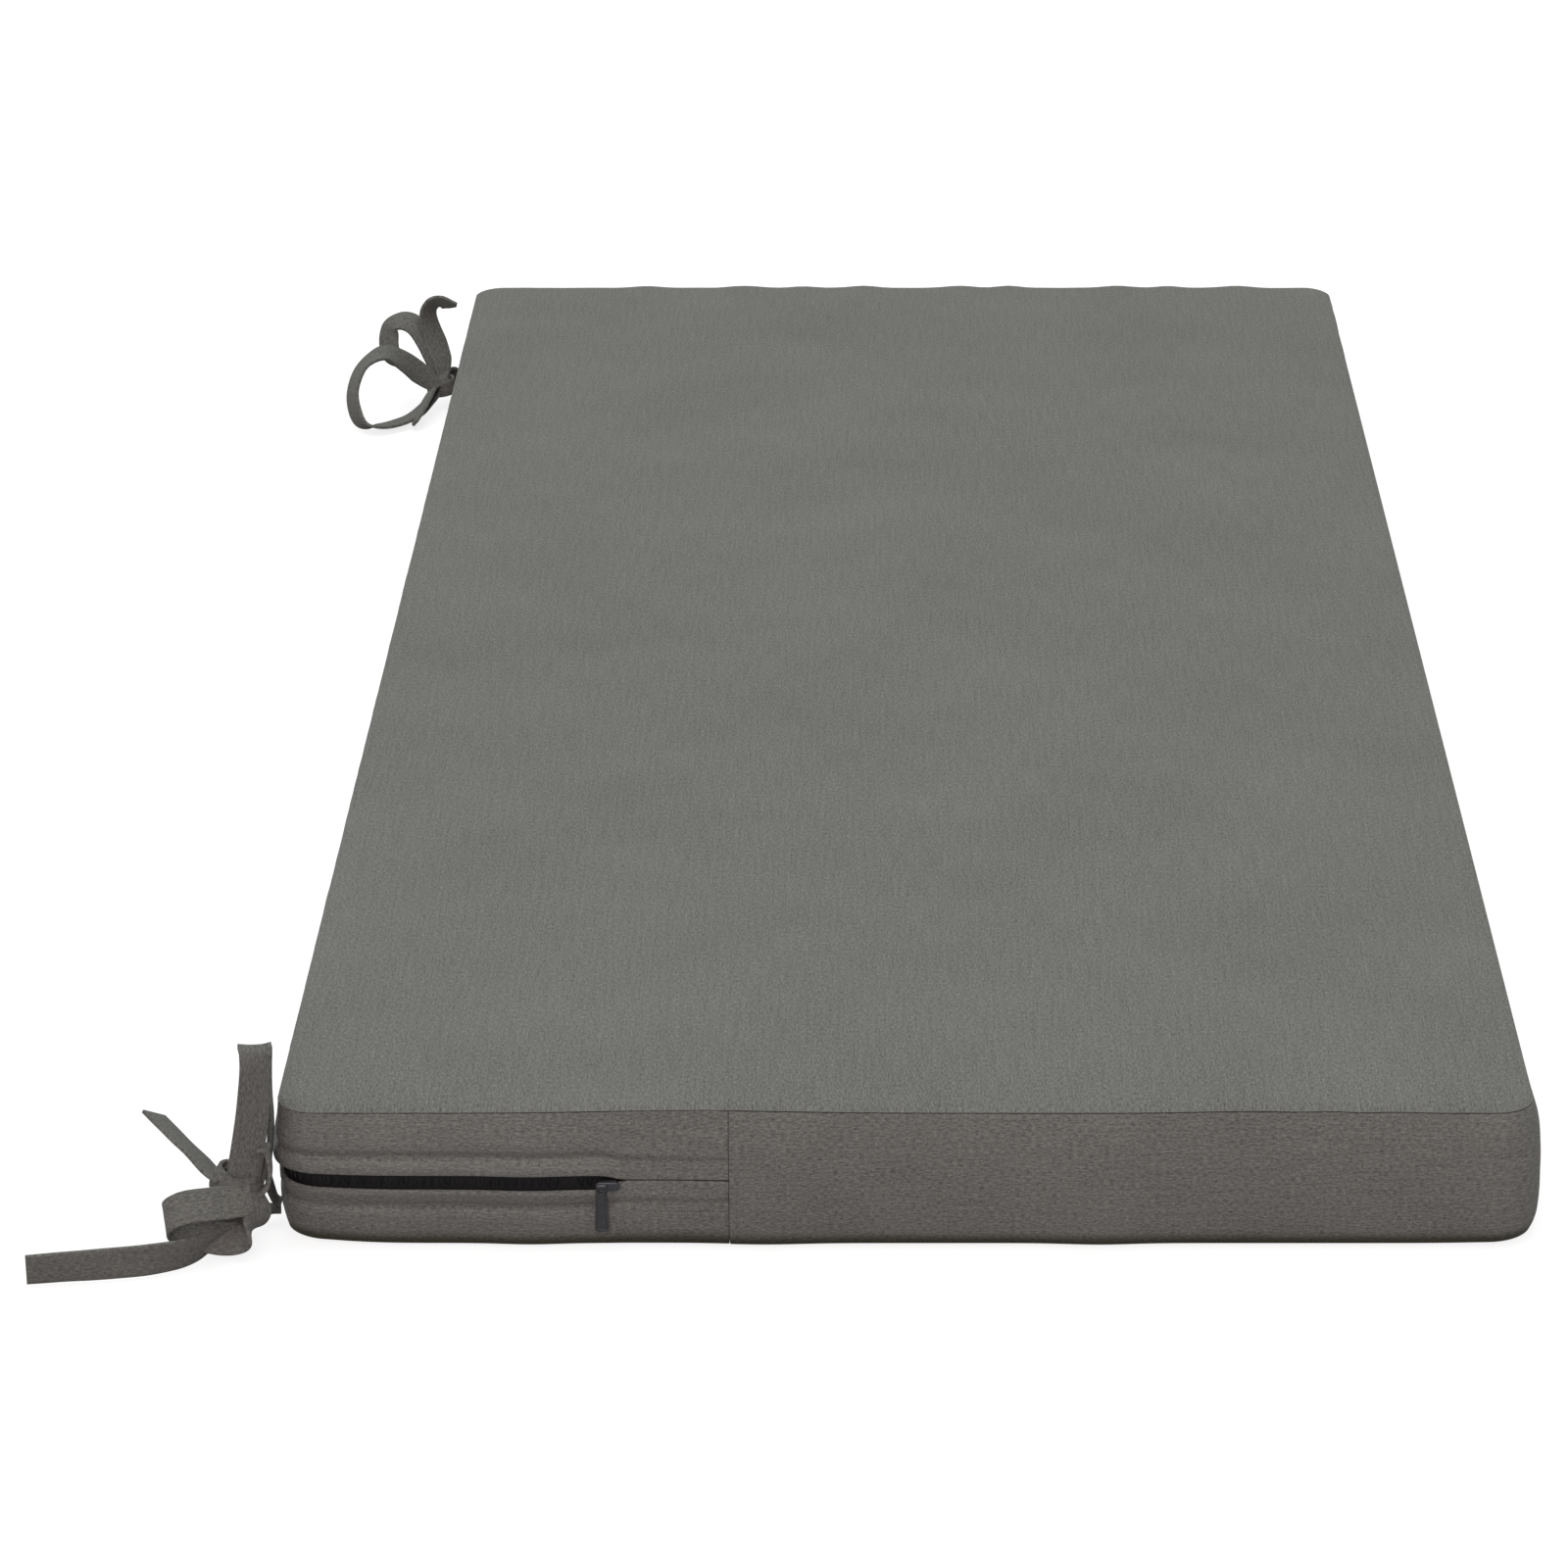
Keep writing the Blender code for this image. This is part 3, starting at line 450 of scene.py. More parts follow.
def mapped_grid(
    columns: int,
    rows: int,
    place: Callable[[int, int], Vector],
    weave: Callable[[int, int], tuple[float, float]],
) -> bmesh.types.BMesh:
    """Lay a grid of cloth on a shape.

    Args:
        columns: how many faces the grid has one way.
        rows: how many it has the other way.
        place: gives the point of a column and row, in millimetres.
        weave: gives the place on the flat cloth of a column and row, in millimetres.

    Returns:
        The grid, in millimetres, with its weave map in metres.
    """
    bm = bmesh.new()
    bmesh.ops.create_grid(bm, x_segments=columns, y_segments=rows, size=1.0)
    weave_map = bm.loops.layers.uv.new(WEAVE_MAP)
    widest = max(vert.co.x for vert in bm.verts)
    spots = {
        vert: (
            round((vert.co.x / widest + 1.0) / 2.0 * columns),
            round((vert.co.y / widest + 1.0) / 2.0 * rows),
        )
        for vert in bm.verts
    }
    for face in bm.faces:
        for loop in face.loops:
            loop[weave_map].uv = Vector(weave(*spots[loop.vert])) * MM
    for vert, (column, row) in spots.items():
        vert.co = place(column, row)
    bm.normal_update()
    return bm


def side_facing(spot: Vector) -> Vector:
    """Which way the side of the cushion nearest a place faces."""
    return Vector((spot.x / (WIDTH / 2) ** 2, spot.y / (LENGTH / 2) ** 2, 0.0))


def turn_outwards(bm: bmesh.types.BMesh, outward: Callable[[Vector], Vector]) -> None:
    """Turn an open sheet's faces to the side that outward gives at a point.

    Args:
        bm: the sheet.
        outward: gives, for a point, the way its side faces.
    """
    score = sum(face.normal.dot(outward(face.calc_center_median())) for face in bm.faces)
    if score < 0.0:
        bmesh.ops.reverse_faces(bm, faces=bm.faces[:])


def box_weave(bm: bmesh.types.BMesh) -> None:
    """Lay the weave map flat on each face of a bmesh in millimetres, by the way it faces.

    Args:
        bm: the shape, with its normals up to date.
    """
    weave_map = bm.loops.layers.uv.verify()
    for face in bm.faces:
        facing = [abs(part) for part in face.normal]
        drop = facing.index(max(facing))
        first, second = [axis for axis in range(3) if axis != drop]
        for loop in face.loops:
            spot = loop.vert.co
            loop[weave_map].uv = (spot[first] * MM, spot[second] * MM)


def places_along(
    runs: Sequence[float], spots: Sequence[Vector], pitch: float
) -> Iterator[tuple[int, int, Vector, Vector]]:
    """Even places along a line of spots.

    Args:
        runs: how far along the line each spot is.
        spots: the line's points.
        pitch: the distance from one place to the next.

    Yields:
        The place's number, the spot before it, its point and the way the line runs there.
    """
    k = 0
    for i in range(1, int((runs[-1] - runs[0]) / pitch)):
        run = runs[0] + pitch * i
        while run > runs[k + 1]:
            k += 1
        part = (run - runs[k]) / (runs[k + 1] - runs[k])
        yield i, k, spots[k].lerp(spots[k + 1], part), (spots[k + 1] - spots[k]).normalized()


@dataclass
class Piece:
    """What makes a mesh a finished piece of the dressed model."""

    name: str
    material: bpy.types.Material
    slot: str
    replaces: tuple[str, ...] = ()
    sharp_degrees: float = 60.0

    def finish(self, bm: bmesh.types.BMesh) -> bpy.types.Object:
        """Make the object.

        Args:
            bm: the shape in millimetres; it is freed.

        Returns:
            The object, which rides on the cushion.
        """
        bmesh.ops.scale(bm, vec=(MM, MM, MM), verts=bm.verts)
        mesh = bpy.data.meshes.new(self.name)
        bm.to_mesh(mesh)
        bm.free()
        mesh.materials.append(self.material)
        mesh.shade_smooth()
        mesh.set_sharp_from_angle(angle=math.radians(self.sharp_degrees))
        obj = bpy.data.objects.new(self.name, mesh)
        bpy.context.scene.collection.objects.link(obj)
        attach(obj, "root")
        if self.replaces:
            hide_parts(*self.replaces)
        LOG.info("%s: %d faces", self.name, len(mesh.polygons))
        return obj


def give_thickness(obj: bpy.types.Object, thickness: float, offset: float, edge: float) -> None:
    """Give a sheet its thickness and soft edges.

    Args:
        obj: the sheet.
        thickness: its thickness in millimetres.
        offset: -1 puts it behind the faces, and 0 to both sides.
        edge: the radius of its edges in millimetres.
    """
    wall = obj.modifiers.new("thickness", "SOLIDIFY")
    wall.thickness = thickness * MM
    wall.offset = offset
    wall.use_even_offset = False
    soft = obj.modifiers.new("soft_edges", "BEVEL")
    soft.width = edge * MM
    soft.segments = 2
    soft.limit_method = "ANGLE"
    soft.angle_limit = math.radians(60)
    soft.use_clamp_overlap = True


# ---------------------------------------------------------------- outline


@dataclass
class Outline:
    """The seam line round the cushion, and how its sides, corners and puckers depart from it."""

    swell: float = 3.4
    corner_radius: float = 14.0
    low_corner_extra: float = 1.5
    corner_reach: float = 24.0
    corner_rise: float = 0.6
    corner_draw: float = 3.6
    rise_top: float = 14.0
    rise_over: float = 12.0
    shoulder: float = 12.0
    lift_from: float = 30.0
    lift_over: float = 20.0
    seam_x: float = -62.7
    seam_gap: float = 0.14
    strip_foot: float = 0.4
    strip_head: float = 51.0
    zip_open_x: float = -108.0
    zip_shut_x: float = -100.2
    zip_line: float = 26.3
    zip_shut_gap: float = 0.25
    zip_shut_inset: float = 0.3
    side_step: float = 3.6
    corner_step_degrees: float = 6.0
    panel_run: float = 1700.0

    @property
    def half_width(self) -> float:
        """Half the width between the seam lines."""
        return WIDTH / 2 - self.swell

    @property
    def half_length(self) -> float:
        """Half the length between the seam lines."""
        return LENGTH / 2 - self.swell

    def stations(self) -> tuple[list[Station], list[Station]]:
        """Stations round the outline, counter-clockwise from the near upright seam.

        Returns:
            Those of the plain strip, and those of the zip panel.
        """
        x_end = self.half_width - self.corner_radius
        y_end = self.half_length - self.corner_radius
        right_of_seam = self.seam_x + self.seam_gap / 2
        left_of_seam = self.seam_x - self.seam_gap / 2
        plain = (
            (Stretch.NEAR, right_of_seam, x_end),
            (Stretch.NEAR_RIGHT, -90.0, 0.0),
            (Stretch.RIGHT, -y_end, y_end),
            (Stretch.FAR_RIGHT, 0.0, 90.0),
            (Stretch.FAR, x_end, right_of_seam),
        )
        panel = (
            (Stretch.FAR, left_of_seam, -x_end),
            (Stretch.FAR_LEFT, 90.0, 180.0),
            (Stretch.LEFT, y_end, -y_end),
            (Stretch.NEAR_LEFT, 180.0, 270.0),
            (Stretch.NEAR, -x_end, left_of_seam),
        )
        return self._walk(plain, 0.0), self._walk(panel, self.panel_run)

    def _walk(self, legs: Sequence[tuple[Stretch, float, float]], run: float) -> list[Station]:
        """Stations along legs of the outline.

        Args:
            legs: each leg's stretch, and its first and last place or angle.
            run: the run of the first station.

        Returns:
            The stations, each with its run.
        """
        found: list[Station] = []
        for stretch, start, end in legs:
            turning = all(stretch.value)
            reach = abs(end - start)
            step = self.corner_step_degrees if turning else self.side_step
            count = max(1, round(reach / step))
            if turning:
                reach = math.radians(reach) * self.corner_radius
            for i in range(1 if found else 0, count + 1):
                spot = start + (end - start) * i / count
                here = run + reach * i / count
                along, angle = (0.0, spot) if turning else (spot, None)
                found.append(Station(stretch, along, angle, here))
            run += reach
        return found

    def station_at(self, x: float, y: float) -> Station:
        """The station beside a point of the seam line.

        Args:
            x: the point's X.
            y: its Y.

        Returns:
            The station, without its run.
        """
        x_end = self.half_width - self.corner_radius
        y_end = self.half_length - self.corner_radius
        side_x = 1 if x > 0 else -1
        side_y = 1 if y > 0 else -1
        if abs(x) > x_end and abs(y) > y_end:
            angle = math.degrees(math.atan2(y - side_y * y_end, x - side_x * x_end))
            return Station(Stretch((side_x, side_y)), 0.0, angle)
        if abs(y) > y_end:
            return Station(Stretch((0, side_y)), x)
        return Station(Stretch((side_x, 0)), y)

    def point(self, station: Station, out: float, corner_radius: float) -> tuple[float, float]:
        """A station's point on the outline drawn out from the seam line.

        Args:
            station: the place on the outline.
            out: how far out the point lies; below zero it lies inside.
            corner_radius: the radius of the seam line's corners there.

        Returns:
            Its X and Y.
        """
        half_x = self.half_width + out
        half_y = self.half_length + out
        radius = max(corner_radius + out, corner_radius / 3)
        side_x, side_y = station.stretch.value
        if station.angle is not None:
            angle = math.radians(station.angle)
            return (
                side_x * (half_x - radius) + radius * math.cos(angle),
                side_y * (half_y - radius) + radius * math.sin(angle),
            )
        if side_y:
            fixed = self.half_width / 2
            along = station.along
            past = abs(along) - fixed
            if past > 0.0:
                fit = (half_x - radius - fixed) / (self.half_width - self.corner_radius - fixed)
                along = math.copysign(fixed + past * fit, along)
            return along, side_y * half_y
        fit = (half_y - radius) / (self.half_length - self.corner_radius)
        return side_x * half_x, station.along * fit

    def pucker_at(self, station: Station) -> tuple[float, float]:
        """The lift of the top seam and the push outwards at a station.

        Args:
            station: the place on the outline.

        Returns:
            The lift and the push, in millimetres.
        """
        lift = push = 0.0
        for pucker in PUCKERS:
            if pucker.stretch is station.stretch:
                near = math.exp(-(((station.along - pucker.along) / pucker.reach) ** 2))
                lift += pucker.lift * near
                push += pucker.push * near
        return lift, push

    def nearness_to_corner(self, station: Station) -> float:
        """1 at a corner of the outline, falling to 0 away from it.

        Args:
            station: the place on the outline.

        Returns:
            A share from 0 to 1.
        """
        x, y = self.point(station, 0.0, self.corner_radius)
        distance = math.hypot(self.half_width - abs(x), self.half_length - abs(y))
        return math.exp(-((distance / self.corner_reach) ** 2))

    def low_rise(self, up: float) -> float:
        """How much of the corners' rise the side takes at a height."""
        return share((self.rise_top - up) / self.rise_over)

    def side_point(self, station: Station, up: float, out: float, rise: float) -> Vector:
        """A point of the side, with the seams' puckers and the corners' rise.

        Args:
            station: the place on the outline.
            up: the point's height.
            out: how far out it stands.
            rise: how much of the corners' rise it takes.

        Returns:
            The point.
        """
        lift, push = self.pucker_at(station)
        shoulder = share((self.strip_head - up) / self.shoulder)
        spread = self.low_corner_extra * max(0.0, 1.0 - up / self.strip_head)
        x, y = self.point(station, out + push * shoulder, self.corner_radius + spread)
        raised = lift * share((up - self.lift_from) / self.lift_over)
        raised += rise * self.corner_rise * self.nearness_to_corner(station)
        return Vector((x, y, up + raised))

    def zip_shut(self, station: Station) -> float:
        """How far the zip is shut at a station: 0 open, 1 shut.

        Args:
            station: the place on the outline.

        Returns:
            A share that goes smoothly from 0 to 1.
        """
        if station.stretch not in (Stretch.NEAR, Stretch.FAR):
            return 0.0
        part = share((station.along - self.zip_open_x) / (self.zip_shut_x - self.zip_open_x))
        return part * part * (3.0 - 2.0 * part)

    def out_at(self, levels: Sequence[Level], up: float, station: Station) -> float:
        """How far out a strip stands at a height of a station.

        Args:
            levels: the strip's levels.
            up: the height.
            station: the place on the outline.

        Returns:
            The distance out from the seam line.
        """
        near = self.nearness_to_corner(station)
        outs = [level.out + (level.corner - level.out) * near for level in levels]
        return smooth_value([level.up for level in levels], outs, up)

    def under_zip(self, station: Station) -> bool:
        """Whether a station lies behind the zip panel.

        Args:
            station: the place on the outline.

        Returns:
            True behind the zip panel.
        """
        if station.stretch in (Stretch.NEAR, Stretch.FAR):
            return station.along < self.seam_x + 1.0
        return station.stretch in (Stretch.LEFT, Stretch.NEAR_LEFT, Stretch.FAR_LEFT)


# ---------------------------------------------------------------- finishes


class NodeBoard:
    """A node tree with short calls that place and join its nodes."""

    def __init__(self, tree: bpy.types.NodeTree) -> None:
        """Work on a node tree."""
        self.tree = tree

    def join(self, source: object, target: bpy.types.NodeSocket) -> None:
        """Link a socket to another, or set it to a plain value.

        Args:
            source: the socket or the plain value.
            target: the input that takes it.
        """
        if isinstance(source, bpy.types.NodeSocket):
            self.tree.links.new(source, target)
        else:
            target.default_value = source

    def add(
        self, kind: str, takes: dict[str | int, object] | None = None, **settings: object
    ) -> bpy.types.Node:
        """Place a node.

        Args:
            kind: its type.
            takes: what its inputs take, by name or number: a socket or a plain value.
            settings: its other settings.

        Returns:
            The node.
        """
        node = self.tree.nodes.new(kind)
        for name, value in settings.items():
            setattr(node, name, value)
        for name, source in (takes or {}).items():
            self.join(source, node.inputs[name])
        return node

    def math(self, operation: str, first: object, second: object = 0.0) -> bpy.types.NodeSocket:
        """Work out a value of one or two others."""
        return self.add("ShaderNodeMath", {0: first, 1: second}, operation=operation).outputs[0]

    def swing(self, grain: object, reach: float) -> bpy.types.NodeSocket:
        """How far a grain stands from its middle, times a reach."""
        return self.math("MULTIPLY", self.math("SUBTRACT", grain, 0.5), reach)

    def parts(self, vector: object) -> bpy.types.NodeOutputs:
        """The three parts of a vector."""
        return self.add("ShaderNodeSeparateXYZ", {0: vector}).outputs

    def grain(
        self, vector: object, stretch: tuple[float, float, float], scale: float = 1.0
    ) -> bpy.types.NodeSocket:
        """A noise drawn out along the axes of a vector.

        Args:
            vector: what the noise is laid on.
            stretch: the scale along each axis.
            scale: the noise's own scale.

        Returns:
            The noise's value.
        """
        drawn = self.add("ShaderNodeMapping", {"Scale": stretch, "Vector": vector}).outputs[0]
        takes = {"Scale": scale, "Detail": 2.5, "Roughness": 0.6, "Vector": drawn}
        return self.add("ShaderNodeTexNoise", takes).outputs[0]

    def brighten(self, color: object, value: object) -> bpy.types.NodeSocket:
        """A color made brighter or darker by a value."""
        takes = {"Value": value, "Color": color}
        return self.add("ShaderNodeHueSaturation", takes).outputs[0]

    def paint_shade(self, amount: object, color: object, tint: Sequence[float]) -> bpy.types.NodeSocket:
        """Painted shade: a color multiplied by a dark tint, by an amount.

        Args:
            amount: how much of the tint is taken.
            color: the color.
            tint: the tint's red, green and blue.

        Returns:
            The color with the painted shade.
        """
        takes = {0: amount, 6: color, 7: (*tint, 1.0)}
        node = self.add("ShaderNodeMix", takes, data_type="RGBA", blend_type="MULTIPLY")
        return node.outputs[2]

    def bump(self, height: object, strength: float, depth: float) -> bpy.types.NodeSocket:
        """The normal of a relief of a depth in millimetres."""
        takes = {"Strength": strength, "Distance": depth * MM, "Height": height}
        return self.add("ShaderNodeBump", takes).outputs[0]


def new_material(name: str) -> tuple[bpy.types.Material, NodeBoard, bpy.types.NodeInputs]:
    """A material, its nodes and the inputs of its shader.

    Args:
        name: the material's name.

    Returns:
        The material, its board and the inputs of its shader.
    """
    material = bpy.data.materials.new(name)
    material.use_nodes = True
    tree = material.node_tree
    return material, NodeBoard(tree), tree.nodes["Principled BSDF"].inputs


@dataclass
class SewingEffects:
    """The shader node groups that the cloths share."""

    fleck_contrast: float = 4.0
    slub_contrast: float = 0.8
    broad_contrast: float = 0.5
    weave: bpy.types.NodeTree = field(init=False)
    stitch_row: bpy.types.NodeTree = field(init=False)

    def __post_init__(self) -> None:
        """Build both groups."""
        self.weave = self._weave()
        self.stitch_row = self._stitch_row()

    @staticmethod
    def _group(
        name: str, takes: dict[str, str], gives: dict[str, str]
    ) -> tuple[NodeBoard, bpy.types.NodeOutputs, bpy.types.NodeInputs]:
        """A new group with named sockets.

        Args:
            name: its name.
            takes: the kind of each input, by name.
            gives: the kind of each output, by name.

        Returns:
            The group's board, what it takes and what it gives.
        """
        tree = bpy.data.node_groups.new(name, "ShaderNodeTree")
        for way, sockets in (("INPUT", takes), ("OUTPUT", gives)):
            for socket, kind in sockets.items():
                tree.interface.new_socket(
                    name=socket, in_out=way, socket_type=f"NodeSocket{kind}"
                )
        board = NodeBoard(tree)
        return board, board.add("NodeGroupInput").outputs, board.add("NodeGroupOutput").inputs

    def _weave(self) -> bpy.types.NodeTree:
        """Plain weave of melange yarn: flecks along both threads, and their crossings' relief.

        Returns:
            The group's tree.
        """
        board, taken, given = self._group(
            "melange_weave",
            {"Vector": "Vector", "Base Color": "Color", "Thread": "Float", "Contrast": "Float"},
            {"Color": "Color", "Height": "Float"},
        )
        per_thread = board.math("DIVIDE", 1.0, taken["Thread"])
        takes = {0: taken["Vector"], "Scale": per_thread}
        counted = board.add("ShaderNodeVectorMath", takes, operation="SCALE").outputs[0]
        parts = board.parts(counted)
        waves = [
            board.math("SINE", board.math("MULTIPLY", parts[axis], math.pi)) for axis in (0, 1)
        ]
        crossing = board.math("MULTIPLY", *waves)
        along = board.grain(counted, (0.26, 0.8, 1.0))
        across = board.grain(counted, (0.8, 0.26, 1.0))
        takes = {"Value": crossing, "From Min": 0.0, "From Max": 0.9}
        pick = board.add("ShaderNodeMapRange", takes).outputs[0]
        takes = {0: pick, 2: along, 3: across}
        fleck = board.add("ShaderNodeMix", takes, data_type="FLOAT").outputs[0]
        slub = board.grain(counted, (0.02, 0.4, 1.0))
        broad = board.grain(counted, (0.006, 0.006, 1.0))
        swing = board.swing(fleck, self.fleck_contrast)
        swing = board.math("ADD", swing, board.swing(slub, self.slub_contrast))
        swing = board.math("ADD", swing, board.swing(broad, self.broad_contrast))
        value = board.math("ADD", 1.0, board.math("MULTIPLY", swing, taken["Contrast"]))
        board.join(board.brighten(taken["Base Color"], value), given["Color"])
        relief = board.math("ADD", board.math("MULTIPLY", crossing, 0.5), fleck)
        board.join(relief, given["Height"])
        return board.tree

    def _stitch_row(self) -> bpy.types.NodeTree:
        """A topstitch row's groove pulled into cloth, dimpled at each stitch; its mask places
        painted shade.

        Returns:
            The group's tree.
        """
        board, taken, given = self._group(
            "stitch_groove",
            {"Vector": "Vector", "Row": "Float", "Half Width": "Float", "Pitch": "Float"},
            {"Mask": "Float", "Height": "Float"},
        )
        parts = board.parts(taken["Vector"])
        off = board.math("SUBTRACT", parts[1], taken["Row"])
        off = board.math("DIVIDE", off, taken["Half Width"])
        falling = board.math("MULTIPLY", board.math("MULTIPLY", off, off), -1.0)
        groove = board.math("EXPONENT", falling)
        turns = board.math("DIVIDE", parts[0], taken["Pitch"])
        wave = board.math("COSINE", board.math("MULTIPLY", turns, 2.0 * math.pi))
        dimple = board.math("ADD", 0.65, board.math("MULTIPLY", wave, 0.35))
        board.join(groove, given["Mask"])
        depth = board.math("MULTIPLY", groove, dimple)
        board.join(board.math("MULTIPLY", depth, -1.0), given["Height"])
        return board.tree


@dataclass(frozen=True)
class MelangeCloth:
    """Melange upholstery cloth with its topstitch rows, and painted shade in their grooves and at
    its foot.
    """

    name: str
    color: tuple[float, float, float]
    contrast: float
    thread: float = 0.48
    stitch_rows: tuple[float, ...] = ()
    foot_shade: tuple[float, float, float] | None = None
    relief: float = 0.22
    relief_depth: float = 0.5
    stitch_half_width: float = 0.9
    stitch_shade: float = 0.6
    stitch_shade_tint: tuple[float, float, float] = (0.62, 0.60, 0.58)
    foot_shade_low: float = 0.2
    foot_shade_high: float = 8.0
    foot_shade_bend: float = 1.3
    roughness: float = 0.92
    sheen: float = 0.12
    sheen_roughness: float = 0.5
    gloss: float = 0.25

    def _paint_foot_shade(
        self, board: NodeBoard, spot: bpy.types.NodeSocket, color: bpy.types.NodeSocket
    ) -> bpy.types.NodeSocket:
        """Paint shade on the cloth, darker towards the seam it lies on.

        Args:
            board: the material's nodes.
            spot: the place on the weave map.
            color: the cloth's color.

        Returns:
            The color with the painted shade.
        """
        takes = {
            "Value": board.parts(spot)[1],
            "From Min": self.foot_shade_high * MM,
            "From Max": self.foot_shade_low * MM,
        }
        near = board.add("ShaderNodeMapRange", takes, interpolation_type="SMOOTHERSTEP")
        amount = board.math("POWER", near.outputs[0], self.foot_shade_bend)
        return board.paint_shade(amount, color, self.foot_shade)

    def material(self, effects: SewingEffects) -> bpy.types.Material:
        """The cloth's material, made from the shared effects.

        Args:
            effects: the shared node groups.

        Returns:
            The material.
        """
        material, board, shader = new_material(self.name)
        spot = board.add("ShaderNodeUVMap", uv_map=WEAVE_MAP).outputs[0]
        takes = {
            "Vector": spot,
            "Base Color": (*self.color, 1.0),
            "Thread": self.thread * MM,
            "Contrast": self.contrast,
        }
        weave = board.add("ShaderNodeGroup", takes, node_tree=effects.weave)
        color = weave.outputs["Color"]
        height = board.math("MULTIPLY", weave.outputs["Height"], self.relief)
        for row in self.stitch_rows:
            takes = {
                "Vector": spot,
                "Row": row * MM,
                "Half Width": self.stitch_half_width * MM,
                "Pitch": STITCH_PITCH * MM,
            }
            groove = board.add("ShaderNodeGroup", takes, node_tree=effects.stitch_row)
            height = board.math("ADD", height, groove.outputs["Height"])
            # painted shade in the groove of the stitch row
            amount = board.math("MULTIPLY", groove.outputs["Mask"], self.stitch_shade)
            color = board.paint_shade(amount, color, self.stitch_shade_tint)
        # painted shade, darker towards the seam the strip stands on
        if self.foot_shade is not None:
            color = self._paint_foot_shade(board, spot, color)
        for name, source in (
            ("Base Color", color),
            ("Normal", board.bump(height, 0.6, self.relief_depth)),
            ("Roughness", self.roughness),
            ("Sheen Weight", self.sheen),
            ("Sheen Roughness", self.sheen_roughness),
            ("Specular IOR Level", self.gloss),
        ):
            board.join(source, shader[name])
        return material


@dataclass(frozen=True)
class WovenTape:
    """Black zip tape or sewing thread, ribbed across its length."""

    name: str
    color: tuple[float, float, float]
    rib: float
    roughness: float = 0.7

    def material(self) -> bpy.types.Material:
        """The tape's or thread's material.

        Returns:
            The material.
        """
        material, board, shader = new_material(self.name)
        spot = board.add("ShaderNodeTexCoord").outputs["Object"]
        fibre = board.grain(spot, (1.0, 1.0, 1.0), 0.6 / (self.rib * MM))
        value = board.math("ADD", 0.75, board.math("MULTIPLY", fibre, 0.5))
        board.join(board.brighten((*self.color, 1.0), value), shader["Base Color"])
        board.join(board.bump(fibre, 0.5, 0.2), shader["Normal"])
        board.join(self.roughness, shader["Roughness"])
        return material


@dataclass(frozen=True)
class PaintedMetal:
    """Dark painted zip metal, a little rubbed on its faces."""

    name: str
    color: tuple[float, float, float]
    roughness: float = 0.32
    metallic: float = 0.75

    def material(self) -> bpy.types.Material:
        """The metal's material.

        Returns:
            The material.
        """
        material, board, shader = new_material(self.name)
        spot = board.add("ShaderNodeTexCoord").outputs["Object"]
        rubbed = board.grain(spot, (1.0, 1.0, 0.4), 900.0)
        value = board.math("ADD", 0.7, board.math("MULTIPLY", rubbed, 0.6))
        board.join(board.brighten((*self.color, 1.0), value), shader["Base Color"])
        dull = board.math("ADD", self.roughness, board.math("MULTIPLY", rubbed, 0.2))
        board.join(dull, shader["Roughness"])
        board.join(self.metallic, shader["Metallic"])
        return material


@dataclass
class Finishes:
    """Every finish of the cushion, as materials."""

    top_grey: tuple[float, float, float] = (0.158, 0.160, 0.148)
    side_grey: tuple[float, float, float] = (0.160, 0.160, 0.149)
    # the ties' self cloth made darker than the cushion's: painted shade
    shaded_tie_grey: tuple[float, float, float] = (0.144, 0.144, 0.133)
    # tint of the painted shade towards the strips' foot
    foot_shade: tuple[float, float, float] = (0.20, 0.20, 0.11)
    black: tuple[float, float, float] = (0.004, 0.004, 0.005)
    top: bpy.types.Material = field(init=False)
    band: bpy.types.Material = field(init=False)
    panel: bpy.types.Material = field(init=False)
    tie: bpy.types.Material = field(init=False)
    thread: bpy.types.Material = field(init=False)
    tape: bpy.types.Material = field(init=False)
    coil: bpy.types.Material = field(init=False)
    metal: bpy.types.Material = field(init=False)

    def __post_init__(self) -> None:
        """Make the materials."""
        rows = (UPPER_STITCHES, LOWER_STITCHES)
        side, foot_shade = self.side_grey, self.foot_shade
        effects = SewingEffects()
        self.top, self.band, self.panel, self.tie = (
            cloth.material(effects)
            for cloth in (
                MelangeCloth("cushion_top_cloth", self.top_grey, 0.62, thread=0.56),
                MelangeCloth("boxing_cloth", side, 0.68, foot_shade=foot_shade),
                MelangeCloth("zip_panel_cloth", side, 0.68, stitch_rows=rows, foot_shade=foot_shade),
                MelangeCloth("tie_strap_cloth", self.shaded_tie_grey, 0.66),
            )
        )
        self.thread = WovenTape("grey_sewing_thread", (0.135, 0.132, 0.122), 0.3).material()
        self.tape = WovenTape("black_zip_tape", self.black, 0.5).material()
        self.coil = WovenTape("black_zip_coil", self.black, 0.8, 0.6).material()
        self.metal = PaintedMetal("dark_zip_metal", (0.085, 0.087, 0.096)).material()


# ---------------------------------------------------------------- filled body


